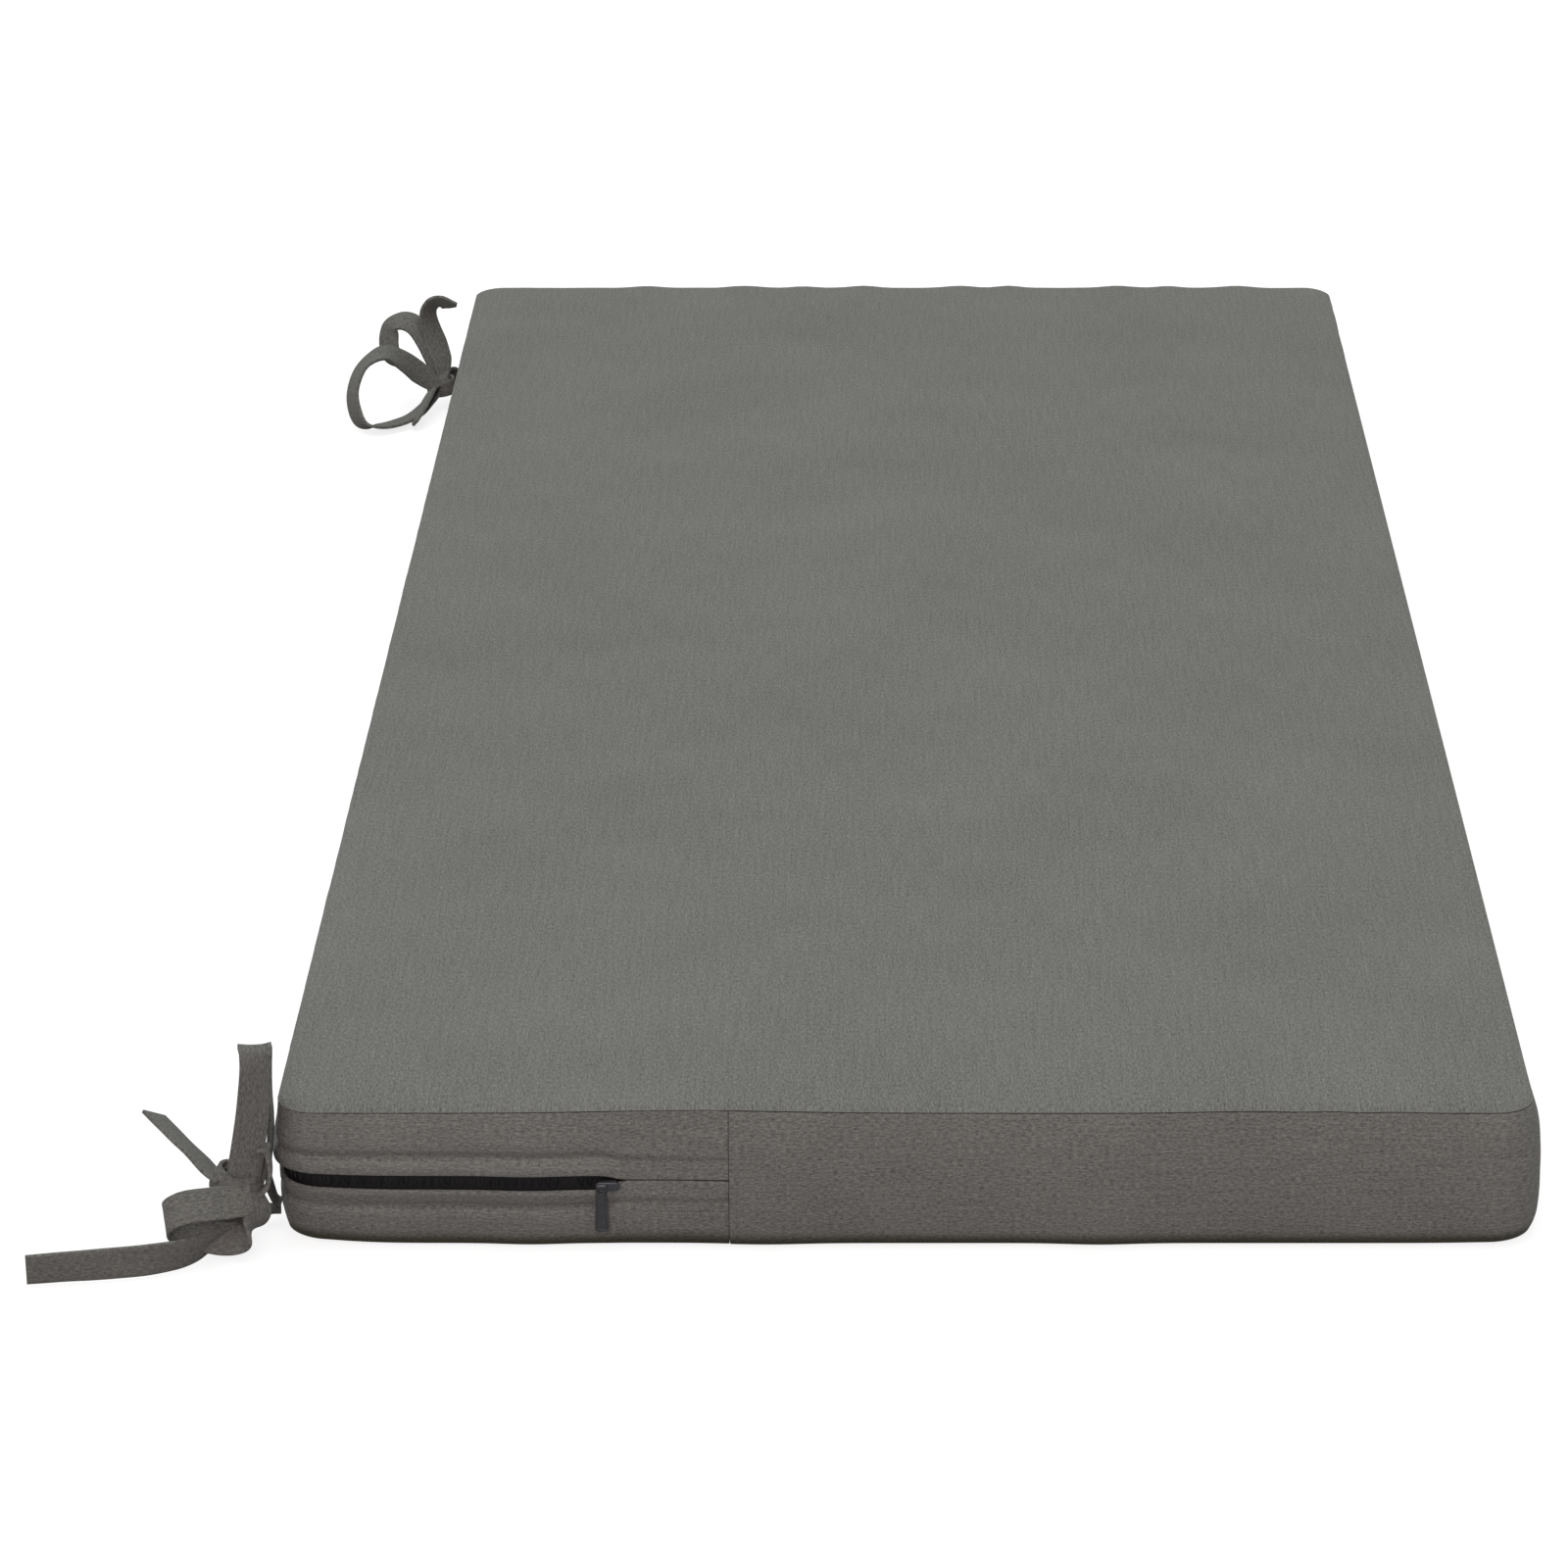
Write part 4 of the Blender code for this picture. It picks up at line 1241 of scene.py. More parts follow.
@dataclass
class FilledBody:
    """The filled body: crowned top panel, the channel behind the strips, and flat underside."""

    outline: Outline
    columns: int = 112
    rows: int = 236
    crowding: float = 1.3
    edge_inset: float = 0.1
    edge_up: float = 51.15
    roll: float = 1.6
    roll_reach: float = 2.2
    crown: float = 1.4
    crown_reach: float = 30.0
    lift_reach: float = 26.0
    gather: float = 0.22
    gather_size: float = 9.0
    gather_start: float = 2.0
    gather_reach: float = 7.0
    slack: float = 0.3
    slack_size: tuple[float, float] = (70.0, 95.0)
    slack_reach: float = 25.0
    backing_gap: float = 0.35
    backing_margin: float = 1.2

    def _crowded(self, index: int, count: int, half: float) -> float:
        """The place of a grid line, closer together towards the edges.

        Args:
            index: the line's number.
            count: how many faces the grid has.
            half: the distance from the middle to the edge.

        Returns:
            The distance from the middle.
        """
        middle = count / 2
        part = 1.0 - abs(index - middle) / middle
        place = half * (1.0 - part**self.crowding)
        return math.copysign(place, index - middle)

    def _top_point(self, column: int, row: int) -> Vector:
        """A point of the top panel.

        Args:
            column: the grid's column.
            row: its row.

        Returns:
            The point.
        """
        out = self.outline
        half_x = out.half_width - self.edge_inset
        half_y = out.half_length - self.edge_inset
        radius = out.corner_radius - self.edge_inset
        x = self._crowded(column, self.columns, half_x)
        y = self._crowded(row, self.rows, half_y)
        over_x = (abs(x) - (half_x - radius)) / radius
        over_y = (abs(y) - (half_y - radius)) / radius
        inset = min(half_x - abs(x), half_y - abs(y))
        if over_x > 0.0 and over_y > 0.0:
            round_x = over_x * math.sqrt(1.0 - over_y**2 / 2)
            round_y = over_y * math.sqrt(1.0 - over_x**2 / 2)
            x = math.copysign(half_x - radius + round_x * radius, x)
            y = math.copysign(half_y - radius + round_y * radius, y)
            inset = radius * (1.0 - math.hypot(round_x, round_y))
        up = self.edge_up + self.roll * (1.0 - math.exp(-inset / self.roll_reach))
        up += self.crown * (1.0 - math.exp(-inset / self.crown_reach))
        beside_end = half_x - abs(x) > half_y - abs(y)
        edge_x = x if beside_end else math.copysign(half_x, x)
        edge_y = math.copysign(half_y, y) if beside_end else y
        lift, _ = out.pucker_at(out.station_at(edge_x, edge_y))
        up += lift * math.exp(-inset / self.lift_reach)
        gathers = noise.noise(Vector((x / self.gather_size, y / self.gather_size, 1.7)))
        gathers *= math.exp(-inset / self.gather_reach) * min(1.0, inset / self.gather_start)
        slack = noise.noise(Vector((x / self.slack_size[0], y / self.slack_size[1], 5.2)))
        slack *= 1.0 - math.exp(-inset / self.slack_reach)
        return Vector((x, y, up + self.gather * gathers + self.slack * slack))

    def _top_weave(self, column: int, row: int) -> tuple[float, float]:
        """A point of the top panel's flat cloth."""
        half_x, half_y = self.outline.half_width, self.outline.half_length
        return self._crowded(row, self.rows, half_y), self._crowded(column, self.columns, half_x)

    def _backing(self, station: Station, up: float) -> float:
        """How far out the body stands behind its strips at a height.

        Args:
            station: the place on the outline.
            up: the height.

        Returns:
            The distance out from the seam line.
        """
        out = self.outline
        outs = []
        if out.under_zip(station):
            for levels, thickness in (
                (ZIP_LOWER_LEVELS, CLOTH_THICKNESS),
                (TAPE_LEVELS, TAPE_THICKNESS),
                (ZIP_UPPER_LEVELS, CLOTH_THICKNESS),
            ):
                margin = self.backing_margin
                if levels[0].up - margin <= up <= levels[-1].up + margin:
                    outs.append(out.out_at(levels, up, station) - thickness)
        if not outs or out.zip_shut(station) > 0.0 or station.along > out.seam_x - 1.0:
            stand = out.out_at(PLAIN_LEVELS, up, station)
            outs.append(stand - out.zip_shut_inset - CLOTH_THICKNESS)
        return min(outs) - self.backing_gap

    def _level_point(self, station: Station, level: BodyLevel) -> Vector:
        """The body's point at a level of a station.

        Args:
            station: the place on the outline.
            level: the level.

        Returns:
            The point.
        """
        out = self.outline
        reach = self._backing(station, level.up) if level.inset is None else -level.inset
        if level.draw and out.under_zip(station):
            reach -= level.draw * out.corner_draw * out.nearness_to_corner(station)
        return out.side_point(station, level.up, reach, level.rise)

    def build(self, material: bpy.types.Material) -> bpy.types.Object:
        """Build the body.

        Args:
            material: its cloth.

        Returns:
            The finished body.
        """
        bm = mapped_grid(self.columns, self.rows, self._top_point, self._top_weave)
        turn_outwards(bm, lambda _: Vector((0.0, 0.0, 1.0)))
        panel = set(bm.faces)
        out = self.outline
        border = [edge for edge in bm.edges if edge.is_boundary]
        at = {
            vert.co.to_tuple(4): out.station_at(vert.co.x, vert.co.y)
            for edge in border
            for vert in edge.verts
        }
        ups = UPPER_BACKING_UPS + LOWER_BACKING_UPS
        backing = tuple(BodyLevel(up, None, out.low_rise(up), 0.0) for up in ups)
        for level in backing + UNDERSIDE_LEVELS:
            made = bmesh.ops.extrude_edge_only(bm, edges=border)["geom"]
            edges = [item for item in made if isinstance(item, bmesh.types.BMEdge)]
            border = [edge for edge in edges if edge.is_boundary]
            verts = [item for item in made if isinstance(item, bmesh.types.BMVert)]
            stations = {vert: at[vert.co.to_tuple(4)] for vert in verts}
            at = {}
            for vert, station in stations.items():
                vert.co = self._level_point(station, level)
                at[vert.co.to_tuple(4)] = station
        bmesh.ops.contextual_create(bm, geom=border)
        bm.normal_update()
        bmesh.ops.recalc_face_normals(bm, faces=bm.faces)
        weave_map = bm.loops.layers.uv[WEAVE_MAP]
        for face in bm.faces:
            if face in panel:
                continue
            flat = abs(face.normal.z) > 0.6
            for loop in face.loops:
                spot = loop.vert.co
                loop[weave_map].uv = (spot.y * MM, (spot.x if flat else spot.z) * MM)
        piece = Piece("cushion_body", material, "cushion_cloth", ("cushion",), 70.0)
        body = piece.finish(bm)
        return body


# ---------------------------------------------------------------- sewn strips


@dataclass
class SewnStrip:
    """A strip of the sides, sewn between the top panel and the underside."""

    outline: Outline
    name: str
    node: str
    levels: tuple[Level, ...]
    stations: list[Station]
    zip_edge: ZipEdge | None = None
    thickness: float = CLOTH_THICKNESS
    slot: str = "band_cloth"
    ripple: float = 0.22
    ripple_size: tuple[float, float] = (17.0, 13.0)
    fine_ripple: float = 0.5
    fine_ripple_size: tuple[float, float] = (7.0, 22.0)
    calm_edge: float = 4.0
    level_step: float = 1.05
    edge_radius: float = 0.35

    def ups(self) -> list[float]:
        """The heights of the strip's rows.

        Returns:
            The heights, from the lowest up.
        """
        low, high = self.levels[0].up, self.levels[-1].up
        count = max(4, round((high - low) / self.level_step))
        return [low + (high - low) * i / count for i in range(count + 1)]

    def _unevenness(self, run: float, up: float) -> float:
        """How far the cloth ripples at a run and height, before its edges calm it.

        Args:
            run: the place along the seam line.
            up: the height.

        Returns:
            The distance out or in.
        """
        (long, high), (fine_long, fine_high) = self.ripple_size, self.fine_ripple_size
        uneven = noise.noise(Vector((run / long, up / high, 8.4)))
        fine = noise.noise(Vector((run / fine_long, up / fine_high, 2.6)))
        return self.ripple * (uneven + self.fine_ripple * fine)

    def surface(self, station: Station, up: float) -> Vector:
        """The strip's outer face at a station and height.

        Args:
            station: the place on the outline.
            up: the height, as measured where the zip is open.

        Returns:
            The point.
        """
        out = self.outline
        stand = out.out_at(self.levels, up, station)
        shut = out.zip_shut(station)
        raised = up
        if self.zip_edge is not None and shut > 0.0:
            edge = self.zip_edge
            plain = max(0.0, out.out_at(PLAIN_LEVELS, up, station) - out.zip_shut_inset)
            stand += (plain - stand) * shut
            part = (up - edge.sewn_up) / (edge.open_up - edge.sewn_up)
            raised += shut * (edge.shut_up - edge.open_up) * max(0.0, part)
        inside = min(up - self.levels[0].up, self.levels[-1].up - up)
        stand += self._unevenness(station.run, up) * share(inside / self.calm_edge)
        return out.side_point(station, raised, stand, out.low_rise(up))

    def build(self, material: bpy.types.Material, rests_on: bpy.types.Object) -> bpy.types.Object:
        """Build the strip.

        Args:
            material: its cloth.
            rests_on: the body that it is sewn round; it is not used.

        Returns:
            The finished strip.
        """
        ups = self.ups()
        bm = mapped_grid(
            len(self.stations) - 1,
            len(ups) - 1,
            lambda column, row: self.surface(self.stations[column], ups[row]),
            lambda column, row: (self.stations[column].run, ups[row]),
        )
        turn_outwards(bm, side_facing)
        strip = Piece(self.name, material, self.slot, (self.node,), 50.0).finish(bm)
        give_thickness(strip, self.thickness, -1.0, self.edge_radius)
        return strip


@dataclass
class StitchRow:
    """A row of topstitches along a strip."""

    strip: SewnStrip
    up: float
    length: float = 2.5
    radius: float = 0.24
    proud: float = 0.02
    rise_step: float = 0.8

    def sew(self, bm: bmesh.types.BMesh) -> None:
        """Add the row's stitches to a bmesh in millimetres.

        Args:
            bm: the mesh that takes the stitches.
        """
        stations = self.strip.stations
        runs = [station.run for station in stations]
        spots = [self.strip.surface(station, self.up) for station in stations]
        above = [self.strip.surface(station, self.up + self.rise_step) for station in stations]
        size = Matrix.Diagonal((self.length / 2, self.radius, self.radius, 1.0))
        for _, k, middle, way in places_along(runs, spots, STITCH_PITCH):
            rise = (above[k] - spots[k]).normalized()
            outward = way.cross(rise).normalized()
            if outward.dot(side_facing(middle)) < 0.0:
                outward = -outward
            turn = Matrix((way, rise, outward)).transposed().to_4x4()
            place = Matrix.Translation(middle + outward * self.proud)
            matrix = place @ turn @ size
            bmesh.ops.create_icosphere(bm, subdivisions=1, radius=1.0, matrix=matrix)


# ---------------------------------------------------------------- zip


@dataclass
class ZipFastener:
    """The zip's coil on its tape, its slider and its pull."""

    outline: Outline
    tape: SewnStrip
    coil_up: float = 25.1
    coil_pitch: float = 1.5
    coil_half_height: float = 1.9
    coil_radius: float = 0.42
    coil_lean: float = 14.0
    coil_shift: float = 0.35
    slider_x: float = -108.0
    slider_up: float = 25.1
    slider_back: float = 1.8
    slider_shift: float = 2.4
    slider_round: float = 0.5
    body_size: tuple[float, float, float] = (6.4, 3.4, 3.0)
    plate_size: tuple[float, float, float] = (8.6, 1.0, 3.2)
    plate_sunk: float = 0.3
    plate_round: float = 1.4
    rim_round: float = 0.25
    bridge_size: tuple[float, float, float] = (3.6, 1.1, 1.7)
    bridge_shift: tuple[float, float, float] = (0.4, 0.8, 0.2)
    pull_size: tuple[float, float, float] = (4.8, 0.9, 14.8)
    pull_top: float = 22.4
    pull_back: float = 4.6
    pull_taper: float = 0.2
    pull_round: float = 1.0
    rim_width: float = 0.55
    sunk_slope: float = 0.2
    sunk_depth: float = 0.2
    eye_radius: float = 1.5
    eye_wire: float = 0.42
    eye_forward: float = 0.1
    eye_overlap: float = 0.5

    def _spot(self, x: float, out: float, up: float) -> Vector:
        """A place that stands out from the near seam line."""
        return Vector((x, -self.outline.half_length - out, up))

    def build_coil(self, material: bpy.types.Material) -> bpy.types.Object:
        """Build the coil's turns along the open stretch of the zip.

        Args:
            material: its nylon.

        Returns:
            The finished coil.
        """
        bm = bmesh.new()
        stations = [s for s in self.tape.stations if self.outline.zip_shut(s) < 0.5]
        runs = [station.run for station in stations]
        spots = [self.tape.surface(station, self.coil_up) for station in stations]
        size = Matrix.Diagonal((self.coil_radius, self.coil_radius, self.coil_half_height, 1.0))
        for i, _, middle, way in places_along(runs, spots, self.coil_pitch):
            side = 1.0 if i % 2 else -1.0
            hinge = way.cross(Vector((0, 0, 1)))
            lean = Matrix.Rotation(math.radians(side * self.coil_lean), 4, hinge)
            place = Matrix.Translation(middle + Vector((0.0, 0.0, side * self.coil_shift)))
            bmesh.ops.create_cone(
                bm,
                cap_ends=True,
                segments=6,
                radius1=0.8,
                radius2=0.8,
                depth=2.0,
                matrix=place @ lean @ size,
            )
        bmesh.ops.recalc_face_normals(bm, faces=bm.faces)
        box_weave(bm)
        return Piece("zip_coil", material, "zip_tape").finish(bm)

    @staticmethod
    def _box(
        bm: bmesh.types.BMesh, middle: Vector, size: Sequence[float]
    ) -> list[bmesh.types.BMEdge]:
        """Add a box to a bmesh and return its edges.

        Args:
            bm: the mesh that takes the box.
            middle: its middle.
            size: its size along each axis.

        Returns:
            The box's edges.
        """
        made = bmesh.ops.create_cube(bm, size=1.0)["verts"]
        bmesh.ops.scale(bm, vec=size, verts=made)
        bmesh.ops.translate(bm, vec=middle, verts=made)
        return list({edge for vert in made for edge in vert.link_edges})

    @staticmethod
    def _soften(bm: bmesh.types.BMesh, edges: list[bmesh.types.BMEdge], radius: float) -> None:
        """Round edges of a bmesh.

        Args:
            bm: the mesh.
            edges: the edges to round.
            radius: the radius they get.
        """
        bmesh.ops.bevel(
            bm, geom=edges, offset=radius, segments=3, affect="EDGES", profile=0.5, material=-1
        )

    @staticmethod
    def _through(edges: list[bmesh.types.BMEdge]) -> list[bmesh.types.BMEdge]:
        """The edges that run from a plate's front to its back."""
        return [edge for edge in edges if abs(edge.verts[0].co.y - edge.verts[1].co.y) > 0.5]

    def build_slider(self, material: bpy.types.Material) -> bpy.types.Object:
        """Build the slider: its body in the opening, its rounded front plate and the bridge.

        Args:
            material: its metal.

        Returns:
            The finished slider.
        """
        bm = bmesh.new()
        x = self.slider_x + self.slider_shift
        middle = self._spot(x, self.slider_back + self.body_size[1] / 2, self.slider_up)
        self._soften(bm, self._box(bm, middle, self.body_size), self.slider_round)
        front = self.slider_back + self.body_size[1] + self.plate_size[1] / 2 - self.plate_sunk
        edges = self._box(bm, self._spot(x, front, self.slider_up), self.plate_size)
        self._soften(bm, self._through(edges), self.plate_round)
        rim = {e for f in bm.faces for e in f.edges if abs(abs(f.normal.y) - 1.0) < 0.01}
        sharp = [e for e in rim if e.is_valid and e.calc_face_angle(0.0) > 1.0]
        self._soften(bm, sharp, self.rim_round)
        aside, forward, up = self.bridge_shift
        middle = self._spot(self.slider_x + aside, front + forward, self.slider_up + up)
        self._soften(bm, self._box(bm, middle, self.bridge_size), self.slider_round)
        bmesh.ops.recalc_face_normals(bm, faces=bm.faces)
        return Piece("zip_slider_dressed", material, "zip_metal", ("zip_slider",), 40.0).finish(bm)

    def build_pull(self, material: bpy.types.Material) -> bpy.types.Object:
        """Build the pull: a flat tab with a sunk face, and the eye that it hangs by.

        Args:
            material: its metal.

        Returns:
            The finished pull.
        """
        bm = bmesh.new()
        out = self.pull_back + self.pull_size[1] / 2
        middle = self._spot(self.slider_x, out, self.pull_top - self.pull_size[2] / 2)
        edges = self._box(bm, middle, self.pull_size)
        for vert in {vert for edge in edges for vert in edge.verts}:
            if vert.co.z > middle.z:
                vert.co.x += (self.slider_x - vert.co.x) * self.pull_taper
        self._soften(bm, self._through(edges), self.pull_round)
        bm.normal_update()
        faces = [face for face in bm.faces if abs(face.normal.y) > 0.9]
        bmesh.ops.inset_individual(bm, faces=faces, thickness=self.rim_width, depth=0.0)
        bm.normal_update()
        bmesh.ops.inset_individual(
            bm, faces=faces, thickness=self.sunk_slope, depth=-self.sunk_depth
        )
        self._add_eye(bm, out)
        bmesh.ops.recalc_face_normals(bm, faces=bm.faces)
        return Piece("zip_pull_dressed", material, "zip_metal", ("zip_pull",), 40.0).finish(bm)

    def _add_eye(self, bm: bmesh.types.BMesh, out: float) -> None:
        """Add the ring of wire that the pull hangs by.

        Args:
            bm: the pull's mesh.
            out: how far out the pull's middle stands.
        """
        up = self.pull_top + self.eye_radius - self.eye_overlap
        centre = self._spot(self.slider_x, out + self.eye_forward, up)
        ring = bmesh.ops.create_circle(bm, segments=10, radius=self.eye_wire)["verts"]
        bmesh.ops.translate(bm, vec=centre + Vector((self.eye_radius, 0, 0)), verts=ring)
        wire = {edge for vert in ring for edge in vert.link_edges}
        bmesh.ops.spin(
            bm,
            geom=list(ring) + list(wire),
            cent=centre,
            axis=(0.0, 1.0, 0.0),
            angle=2 * math.pi,
            steps=24,
            use_merge=True,
        )


# ---------------------------------------------------------------- ties


@dataclass
class Strap:
    """A flat strap of self cloth that follows its folds."""

    end: End
    folds: tuple[Fold, ...]
    steps: int = 7
    columns: int = 4
    wave: float = 0.16
    wave_length: float = 11.0

    def _spine(self) -> list[tuple[Vector, Vector, float]]:
        """Middle, way across and width of the strap, at even steps along it.

        Returns:
            A row for each step.
        """
        spots = [self.end.spot(fold.out, fold.along, fold.up) for fold in self.folds]
        ways = []
        for fold in self.folds:
            turn, lean = math.radians(fold.turn), math.radians(fold.lean)
            level = math.cos(lean)
            ways.append(Vector((math.cos(turn) * level, math.sin(turn) * level, math.sin(lean))))
        last = len(self.folds) - 1

        def curve(points: list[Vector], i: int, part: float) -> Vector:
            """A smooth curve through the points, at a part of the way past one.

            Args:
                points: the points.
                i: the number of the point before the place.
                part: the part of the way to the next.

            Returns:
                The curve's point.
            """
            before, start = points[max(0, i - 1)], points[i]
            end, after = points[i + 1], points[min(last, i + 2)]
            return 0.5 * (
                2 * start
                + (end - before) * part
                + (2 * before - 5 * start + 4 * end - after) * part**2
                + (3 * start - before - 3 * end + after) * part**3
            )

        found = []
        for i, (fold, following) in enumerate(zip(self.folds, self.folds[1:])):
            for step in range(self.steps):
                part = step / self.steps
                width = fold.width + (following.width - fold.width) * part
                found.append((curve(spots, i, part), curve(ways, i, part), width))
        found.append((spots[last], ways[last], self.folds[last].width))
        rows: list[tuple[Vector, Vector, float]] = []
        for i, (middle, way, width) in enumerate(found):
            ahead = self._ahead(found, i)
            across = (way - ahead * way.dot(ahead)).normalized()
            if rows and across.dot(rows[-1][1]) < 0.0:
                across = -across
            rows.append((middle, across, width))
        return rows

    @staticmethod
    def _ahead(rows: Sequence[tuple[Vector, Vector, float]], i: int) -> Vector:
        """The way that the strap runs at a row."""
        return (rows[min(i + 1, len(rows) - 1)][0] - rows[max(i - 1, 0)][0]).normalized()

    def build(self) -> tuple[bmesh.types.BMesh, float]:
        """The strap's middle surface and its length, in millimetres.

        Returns:
            The surface and the length.
        """
        spine = self._spine()
        runs = [0.0]
        for (start, _, _), (end, _, _) in zip(spine, spine[1:]):
            runs.append(runs[-1] + (end - start).length)

        def place(column: int, row: int) -> Vector:
            """A point of the strap, a little uneven.

            Args:
                column: the grid's column.
                row: its row.

            Returns:
                The point.
            """
            middle, across, width = spine[row]
            part = column / self.columns - 0.5
            facing = self._ahead(spine, row).cross(across)
            spot = Vector((runs[row] / self.wave_length, part * 2.0, len(spine)))
            return middle + across * width * part + facing * self.wave * noise.noise(spot)

        bm = mapped_grid(
            self.columns,
            len(spine) - 1,
            place,
            lambda column, row: (runs[row], (column / self.columns - 0.5) * STRAP),
        )
        return bm, runs[-1]


@dataclass
class KnotWrap:
    """The strap wound once round a knot, and the bunched cloth inside it."""

    end: End
    knot: Knot
    steps: int = 48
    rows: int = 8
    creases: float = 0.28
    crease_turns: float = 1.2
    crease_rows: float = 2.4
    bulge: float = 0.05
    slant: float = 0.7
    core_gap: float = 0.45
    core_height: float = 0.74
    pleats: int = 5
    pleat_depth: float = 0.09
    pleat_twist: float = 0.12

    def _set(self, bm: bmesh.types.BMesh) -> None:
        """Lean the shape by the knot's tilt and move it to the knot.

        Args:
            bm: the shape, upright about the origin.
        """
        turn = Matrix.Rotation(math.radians(-self.knot.tilt), 3, "Y")
        bmesh.ops.rotate(bm, cent=(0, 0, 0), matrix=turn, verts=bm.verts)
        spot = self.end.spot(self.knot.out, self.knot.along, self.knot.up)
        bmesh.ops.translate(bm, vec=spot, verts=bm.verts)

    def band(self) -> tuple[bmesh.types.BMesh, float]:
        """The wrap's middle surface, creased along the strap as it is pulled tight.

        Returns:
            The surface, and the length of strap that it takes.
        """
        knot = self.knot

        def place(column: int, row: int) -> Vector:
            """A point of the wrap.

            Args:
                column: the grid's column.
                row: its row.

            Returns:
                The point, before the wrap is set in place.
            """
            angle = 2 * math.pi * column / self.steps
            part = row / self.rows * 2.0 - 1.0
            turns = self.crease_turns
            spot = (math.cos(angle) * turns, math.sin(angle) * turns, part * self.crease_rows)
            crease = self.creases * noise.noise(Vector(spot))
            full = 1.0 - self.bulge * part * part
            x = (knot.half_x + crease) * full * math.cos(angle)
            y = (knot.half_y + crease) * full * math.sin(angle)
            return Vector((x, y, self.slant * math.sin(angle) + knot.width / 2 * part))

        around = math.pi * (knot.half_x + knot.half_y)
        bm = mapped_grid(
            self.steps,
            self.rows,
            place,
            lambda column, row: (around * column / self.steps, knot.width * row / self.rows),
        )
        bmesh.ops.remove_doubles(bm, verts=bm.verts, dist=0.01)
        bmesh.ops.recalc_face_normals(bm, faces=bm.faces)
        turn_outwards(bm, lambda spot: Vector((spot.x, spot.y, 0.0)))
        self._set(bm)
        return bm, around

    def core(self) -> bmesh.types.BMesh:
        """The bunched cloth that fills the wrap.

        Returns:
            The core's shape, in millimetres.
        """
        knot = self.knot
        room = STRAP_THICKNESS / 2 + self.core_gap
        bm = bmesh.new()
        bm.loops.layers.uv.new(WEAVE_MAP)
        bmesh.ops.create_uvsphere(bm, u_segments=32, v_segments=20, radius=1.0)
        size = (knot.half_x - room, knot.half_y - room, knot.width * self.core_height)
        bmesh.ops.scale(bm, vec=size, verts=bm.verts)
        for vert in bm.verts:
            angle = self.pleats * math.atan2(vert.co.y, vert.co.x)
            swell = 0.5 + 0.5 * math.cos(angle + self.pleat_twist * vert.co.z)
            pleat = 1.0 - self.pleat_depth * swell
            vert.co.x *= pleat
            vert.co.y *= pleat
        bm.normal_update()
        box_weave(bm)
        self._set(bm)
        return bm


@dataclass
class Bow:
    """A tied bow: the strap that fills the knot, and the strap that wraps it."""

    name: str
    end: End
    turns: tuple[Knot, ...]
    through: tuple[tuple[Fold, ...], ...]
    around: tuple[tuple[Fold, ...], ...]
    nodes: tuple[str, str]
    edge_radius: float = 0.4

    def _strap_piece(
        self,
        piece: Piece,
        tables: tuple[tuple[Fold, ...], ...],
        wraps: Sequence[KnotWrap],
    ) -> tuple[bpy.types.Object, float]:
        """One strap of the bow, of all its folds.

        Args:
            piece: its name, cloth and the solid that it stands for.
            tables: the folds of each stretch of the strap.
            wraps: the turns round the knot that this strap makes.

        Returns:
            The piece and the strap's length in millimetres.
        """
        parts = [Strap(self.end, table).build() for table in tables]
        parts += [wrap.band() for wrap in wraps]
        whole = bmesh.new()
        whole.loops.layers.uv.new(WEAVE_MAP)
        for bm, _ in parts:
            held = bpy.data.meshes.new("stretch_of_strap")
            bm.to_mesh(held)
            bm.free()
            whole.from_mesh(held)
            bpy.data.meshes.remove(held)
        strap = piece.finish(whole)
        give_thickness(strap, STRAP_THICKNESS, 0.0, self.edge_radius)
        return strap, sum(length for _, length in parts)

    def _piece(
        self, part: str, material: bpy.types.Material, replaces: tuple[str, ...]
    ) -> Piece:
        """What makes a part of the bow a piece."""
        name = f"{self.name}_{part}"
        return Piece(name, material, "tie_cloth", replaces, TIE_SHARP_DEGREES)

    def build(self, material: bpy.types.Material, rests_on: bpy.types.Object) -> None:
        """Build the bow.

        Args:
            material: its cloth.
            rests_on: the body that it is sewn to; it is not used.
        """
        wraps = [KnotWrap(self.end, turn) for turn in self.turns]
        core = self._piece("knot_core", material, ()).finish(wraps[0].core())
        piece = self._piece("loop_strap", material, self.nodes[:1])
        loop, long = self._strap_piece(piece, self.through, ())
        piece = self._piece("wrap_strap", material, self.nodes[1:])
        wound, long = self._strap_piece(piece, self.around, wraps)


# ---------------------------------------------------------------- studio


@dataclass(frozen=True)
class SoftLamp:
    """A round lamp that faces the cushion: its place and size in metres, and its power in watts."""

    name: str
    place: tuple[float, float, float]
    size: float
    power: float
    tint: tuple[float, float, float]

    def hang(self) -> None:
        """Hang the lamp."""
        light = bpy.data.lights.new(self.name, "AREA")
        light.color = self.tint
        light.shape = "DISK"
        light.size = self.size
        light.energy = self.power
        lamp = bpy.data.objects.new(self.name, light)
        lamp.location = self.place
        lamp.rotation_euler = (-Vector(self.place)).to_track_quat("-Z", "Y").to_euler()
        bpy.context.scene.collection.objects.link(lamp)


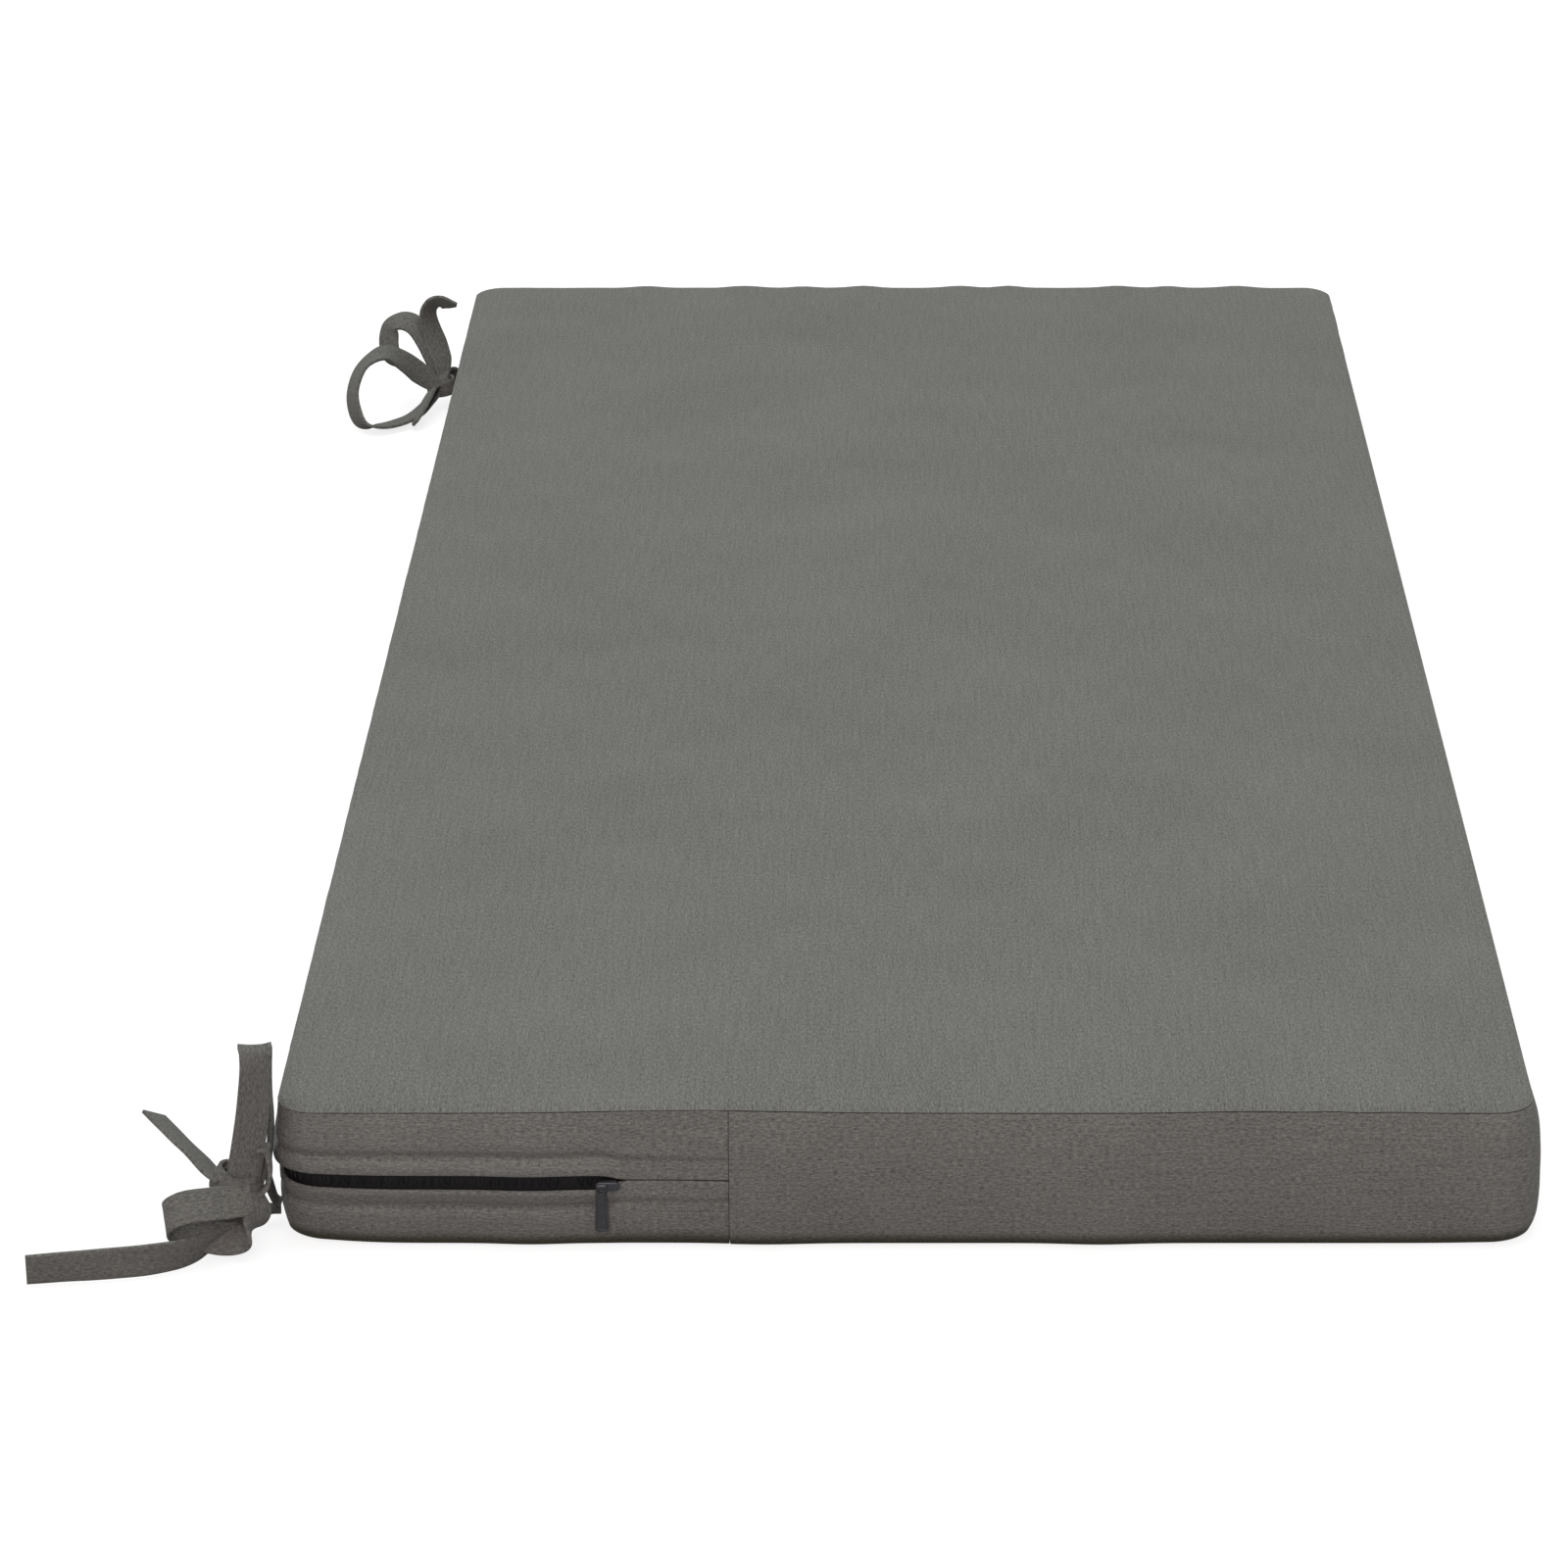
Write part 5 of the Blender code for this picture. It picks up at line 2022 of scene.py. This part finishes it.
@dataclass
class Studio:
    """The pale floor, soft lights and the camera at the photograph's angle, in metres."""

    lamps: tuple[SoftLamp, ...] = (
        SoftLamp("overhead_soft_light", (-0.2, 0.1, 3.4), 3.2, 48.0, (0.9, 1.0, 0.97)),
        SoftLamp("front_soft_light", (-0.5, -5.3, 2.6), 2.4, 112.0, (1.0, 0.82, 0.81)),
    )
    camera_place: tuple[float, float, float] = (-0.003, -2.3861, 0.8822)
    camera_tilt: float = 69.16
    lens: float = 131.78
    sensor: float = 36.0
    shift: float = -0.0721
    floor_half_size: float = 9.0
    floor_drop: float = 0.0003
    floor_tone: float = 0.36
    floor_roughness: float = 0.9
    floor_gloss: float = 0.1
    floor_glow: float = 0.8
    sky: float = 0.45

    def build(self) -> None:
        """Set up the whole studio."""
        self._floor()
        for lamp in self.lamps:
            lamp.hang()
        self._sky()
        self._camera()

    def _floor(self) -> None:
        """Lay the floor, which glows a little to the camera alone."""
        bm = bmesh.new()
        bmesh.ops.create_grid(bm, x_segments=8, y_segments=8, size=self.floor_half_size)
        mesh = bpy.data.meshes.new("studio_floor")
        bm.to_mesh(mesh)
        bm.free()
        floor = bpy.data.objects.new("studio_floor", mesh)
        floor.location = (0.0, 0.0, -self.floor_drop)
        bpy.context.scene.collection.objects.link(floor)
        material, board, shader = new_material("pale_floor")
        seen = board.add("ShaderNodeLightPath").outputs["Is Camera Ray"]
        for name, source in (
            ("Base Color", (self.floor_tone,) * 3 + (1.0,)),
            ("Roughness", self.floor_roughness),
            ("Specular IOR Level", self.floor_gloss),
            ("Emission Color", (1.0, 1.0, 1.0, 1.0)),
            ("Emission Strength", board.math("MULTIPLY", seen, self.floor_glow)),
        ):
            board.join(source, shader[name])
        mesh.materials.append(material)

    def _sky(self) -> None:
        """Set the sky's soft light."""
        scene = bpy.context.scene
        world = scene.world or bpy.data.worlds.new("studio_sky")
        scene.world = world
        world.use_nodes = True
        backdrop = world.node_tree.nodes["Background"]
        backdrop.inputs["Color"].default_value = (1.0, 1.0, 1.0, 1.0)
        backdrop.inputs["Strength"].default_value = self.sky
        scene.view_settings.view_transform = "Standard"

    def _camera(self) -> None:
        """Place the camera."""
        data = bpy.data.cameras.new("photo_camera")
        data.lens = self.lens
        data.sensor_width = self.sensor
        data.shift_x = self.shift
        camera = bpy.data.objects.new("photo_camera", data)
        camera.location = self.camera_place
        camera.rotation_euler = (math.radians(self.camera_tilt), 0.0, 0.0)
        bpy.context.scene.collection.objects.link(camera)
        bpy.context.scene.camera = camera


# ---------------------------------------------------------------- the whole cushion


def build_sides(outline: Outline, finishes: Finishes, body: bpy.types.Object) -> None:
    """Build the strips of the sides, their topstitching and the zip.

    Args:
        outline: the seam line.
        finishes: the materials.
        body: the body that the strips are sewn round.
    """
    plain, panel = outline.stations()
    band = SewnStrip(outline, "plain_boxing", "band_plain", PLAIN_LEVELS, plain)
    band.build(finishes.band, body)
    below = outline.zip_line - outline.zip_shut_gap
    above = outline.zip_line + outline.zip_shut_gap
    edge = ZipEdge(ZIP_LOWER_LEVELS[-1].up, below, outline.strip_foot)
    lower = SewnStrip(
        outline, "zip_panel_lower", "zip_strip_lower", ZIP_LOWER_LEVELS, panel, edge
    )
    lower.build(finishes.panel, body)
    edge = ZipEdge(ZIP_UPPER_LEVELS[0].up, above, outline.strip_head)
    upper = SewnStrip(
        outline, "zip_panel_upper", "zip_strip_upper", ZIP_UPPER_LEVELS, panel, edge
    )
    upper.build(finishes.panel, body)
    tape = SewnStrip(
        outline,
        "zip_tape_dressed",
        "zip_tape",
        TAPE_LEVELS,
        panel[TAPE_SHORTENED:-TAPE_SHORTENED],
        thickness=TAPE_THICKNESS,
        slot="zip_tape",
        ripple=0.0,
    )
    tape.build(finishes.tape, body)
    stitches = bmesh.new()
    StitchRow(upper, UPPER_STITCHES).sew(stitches)
    StitchRow(lower, LOWER_STITCHES).sew(stitches)
    Piece("topstitching", finishes.thread, "band_cloth").finish(stitches)
    zip_fastener = ZipFastener(outline, tape)
    zip_fastener.build_coil(finishes.coil)
    zip_fastener.build_slider(finishes.metal)
    zip_fastener.build_pull(finishes.metal)


def main() -> None:
    """Build every piece in order."""
    logging.basicConfig(level=logging.INFO, format="%(name)s: %(message)s")
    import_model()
    outline = Outline()
    finishes = Finishes()
    body = FilledBody(outline).build(finishes.top)
    build_sides(outline, finishes, body)
    near = Bow(
        "near",
        End.NEAR,
        (NEAR_INNER_TURN, NEAR_OUTER_TURN),
        (NEAR_UPRIGHT_LOOP, NEAR_LONG_TAIL),
        (NEAR_WRAP_LEG, NEAR_KNOT_FOLD, NEAR_LOW_LOOP, NEAR_SHORT_TAIL),
        ("near_tie_loop", "near_tie_wrap"),
    )
    near.build(finishes.tie, body)
    far = Bow(
        "far",
        End.FAR,
        (FAR_KNOT,),
        (FAR_LOOP_LEG, FAR_UPPER_LOOP, FAR_UPRIGHT_TAIL),
        (FAR_WRAP_LEG, FAR_ROUND_LOOP, FAR_SHORT_TAIL),
        ("far_tie_loop", "far_tie_wrap"),
    )
    far.build(finishes.tie, body)
    Studio().build()


if __name__ == "__main__":
    main()
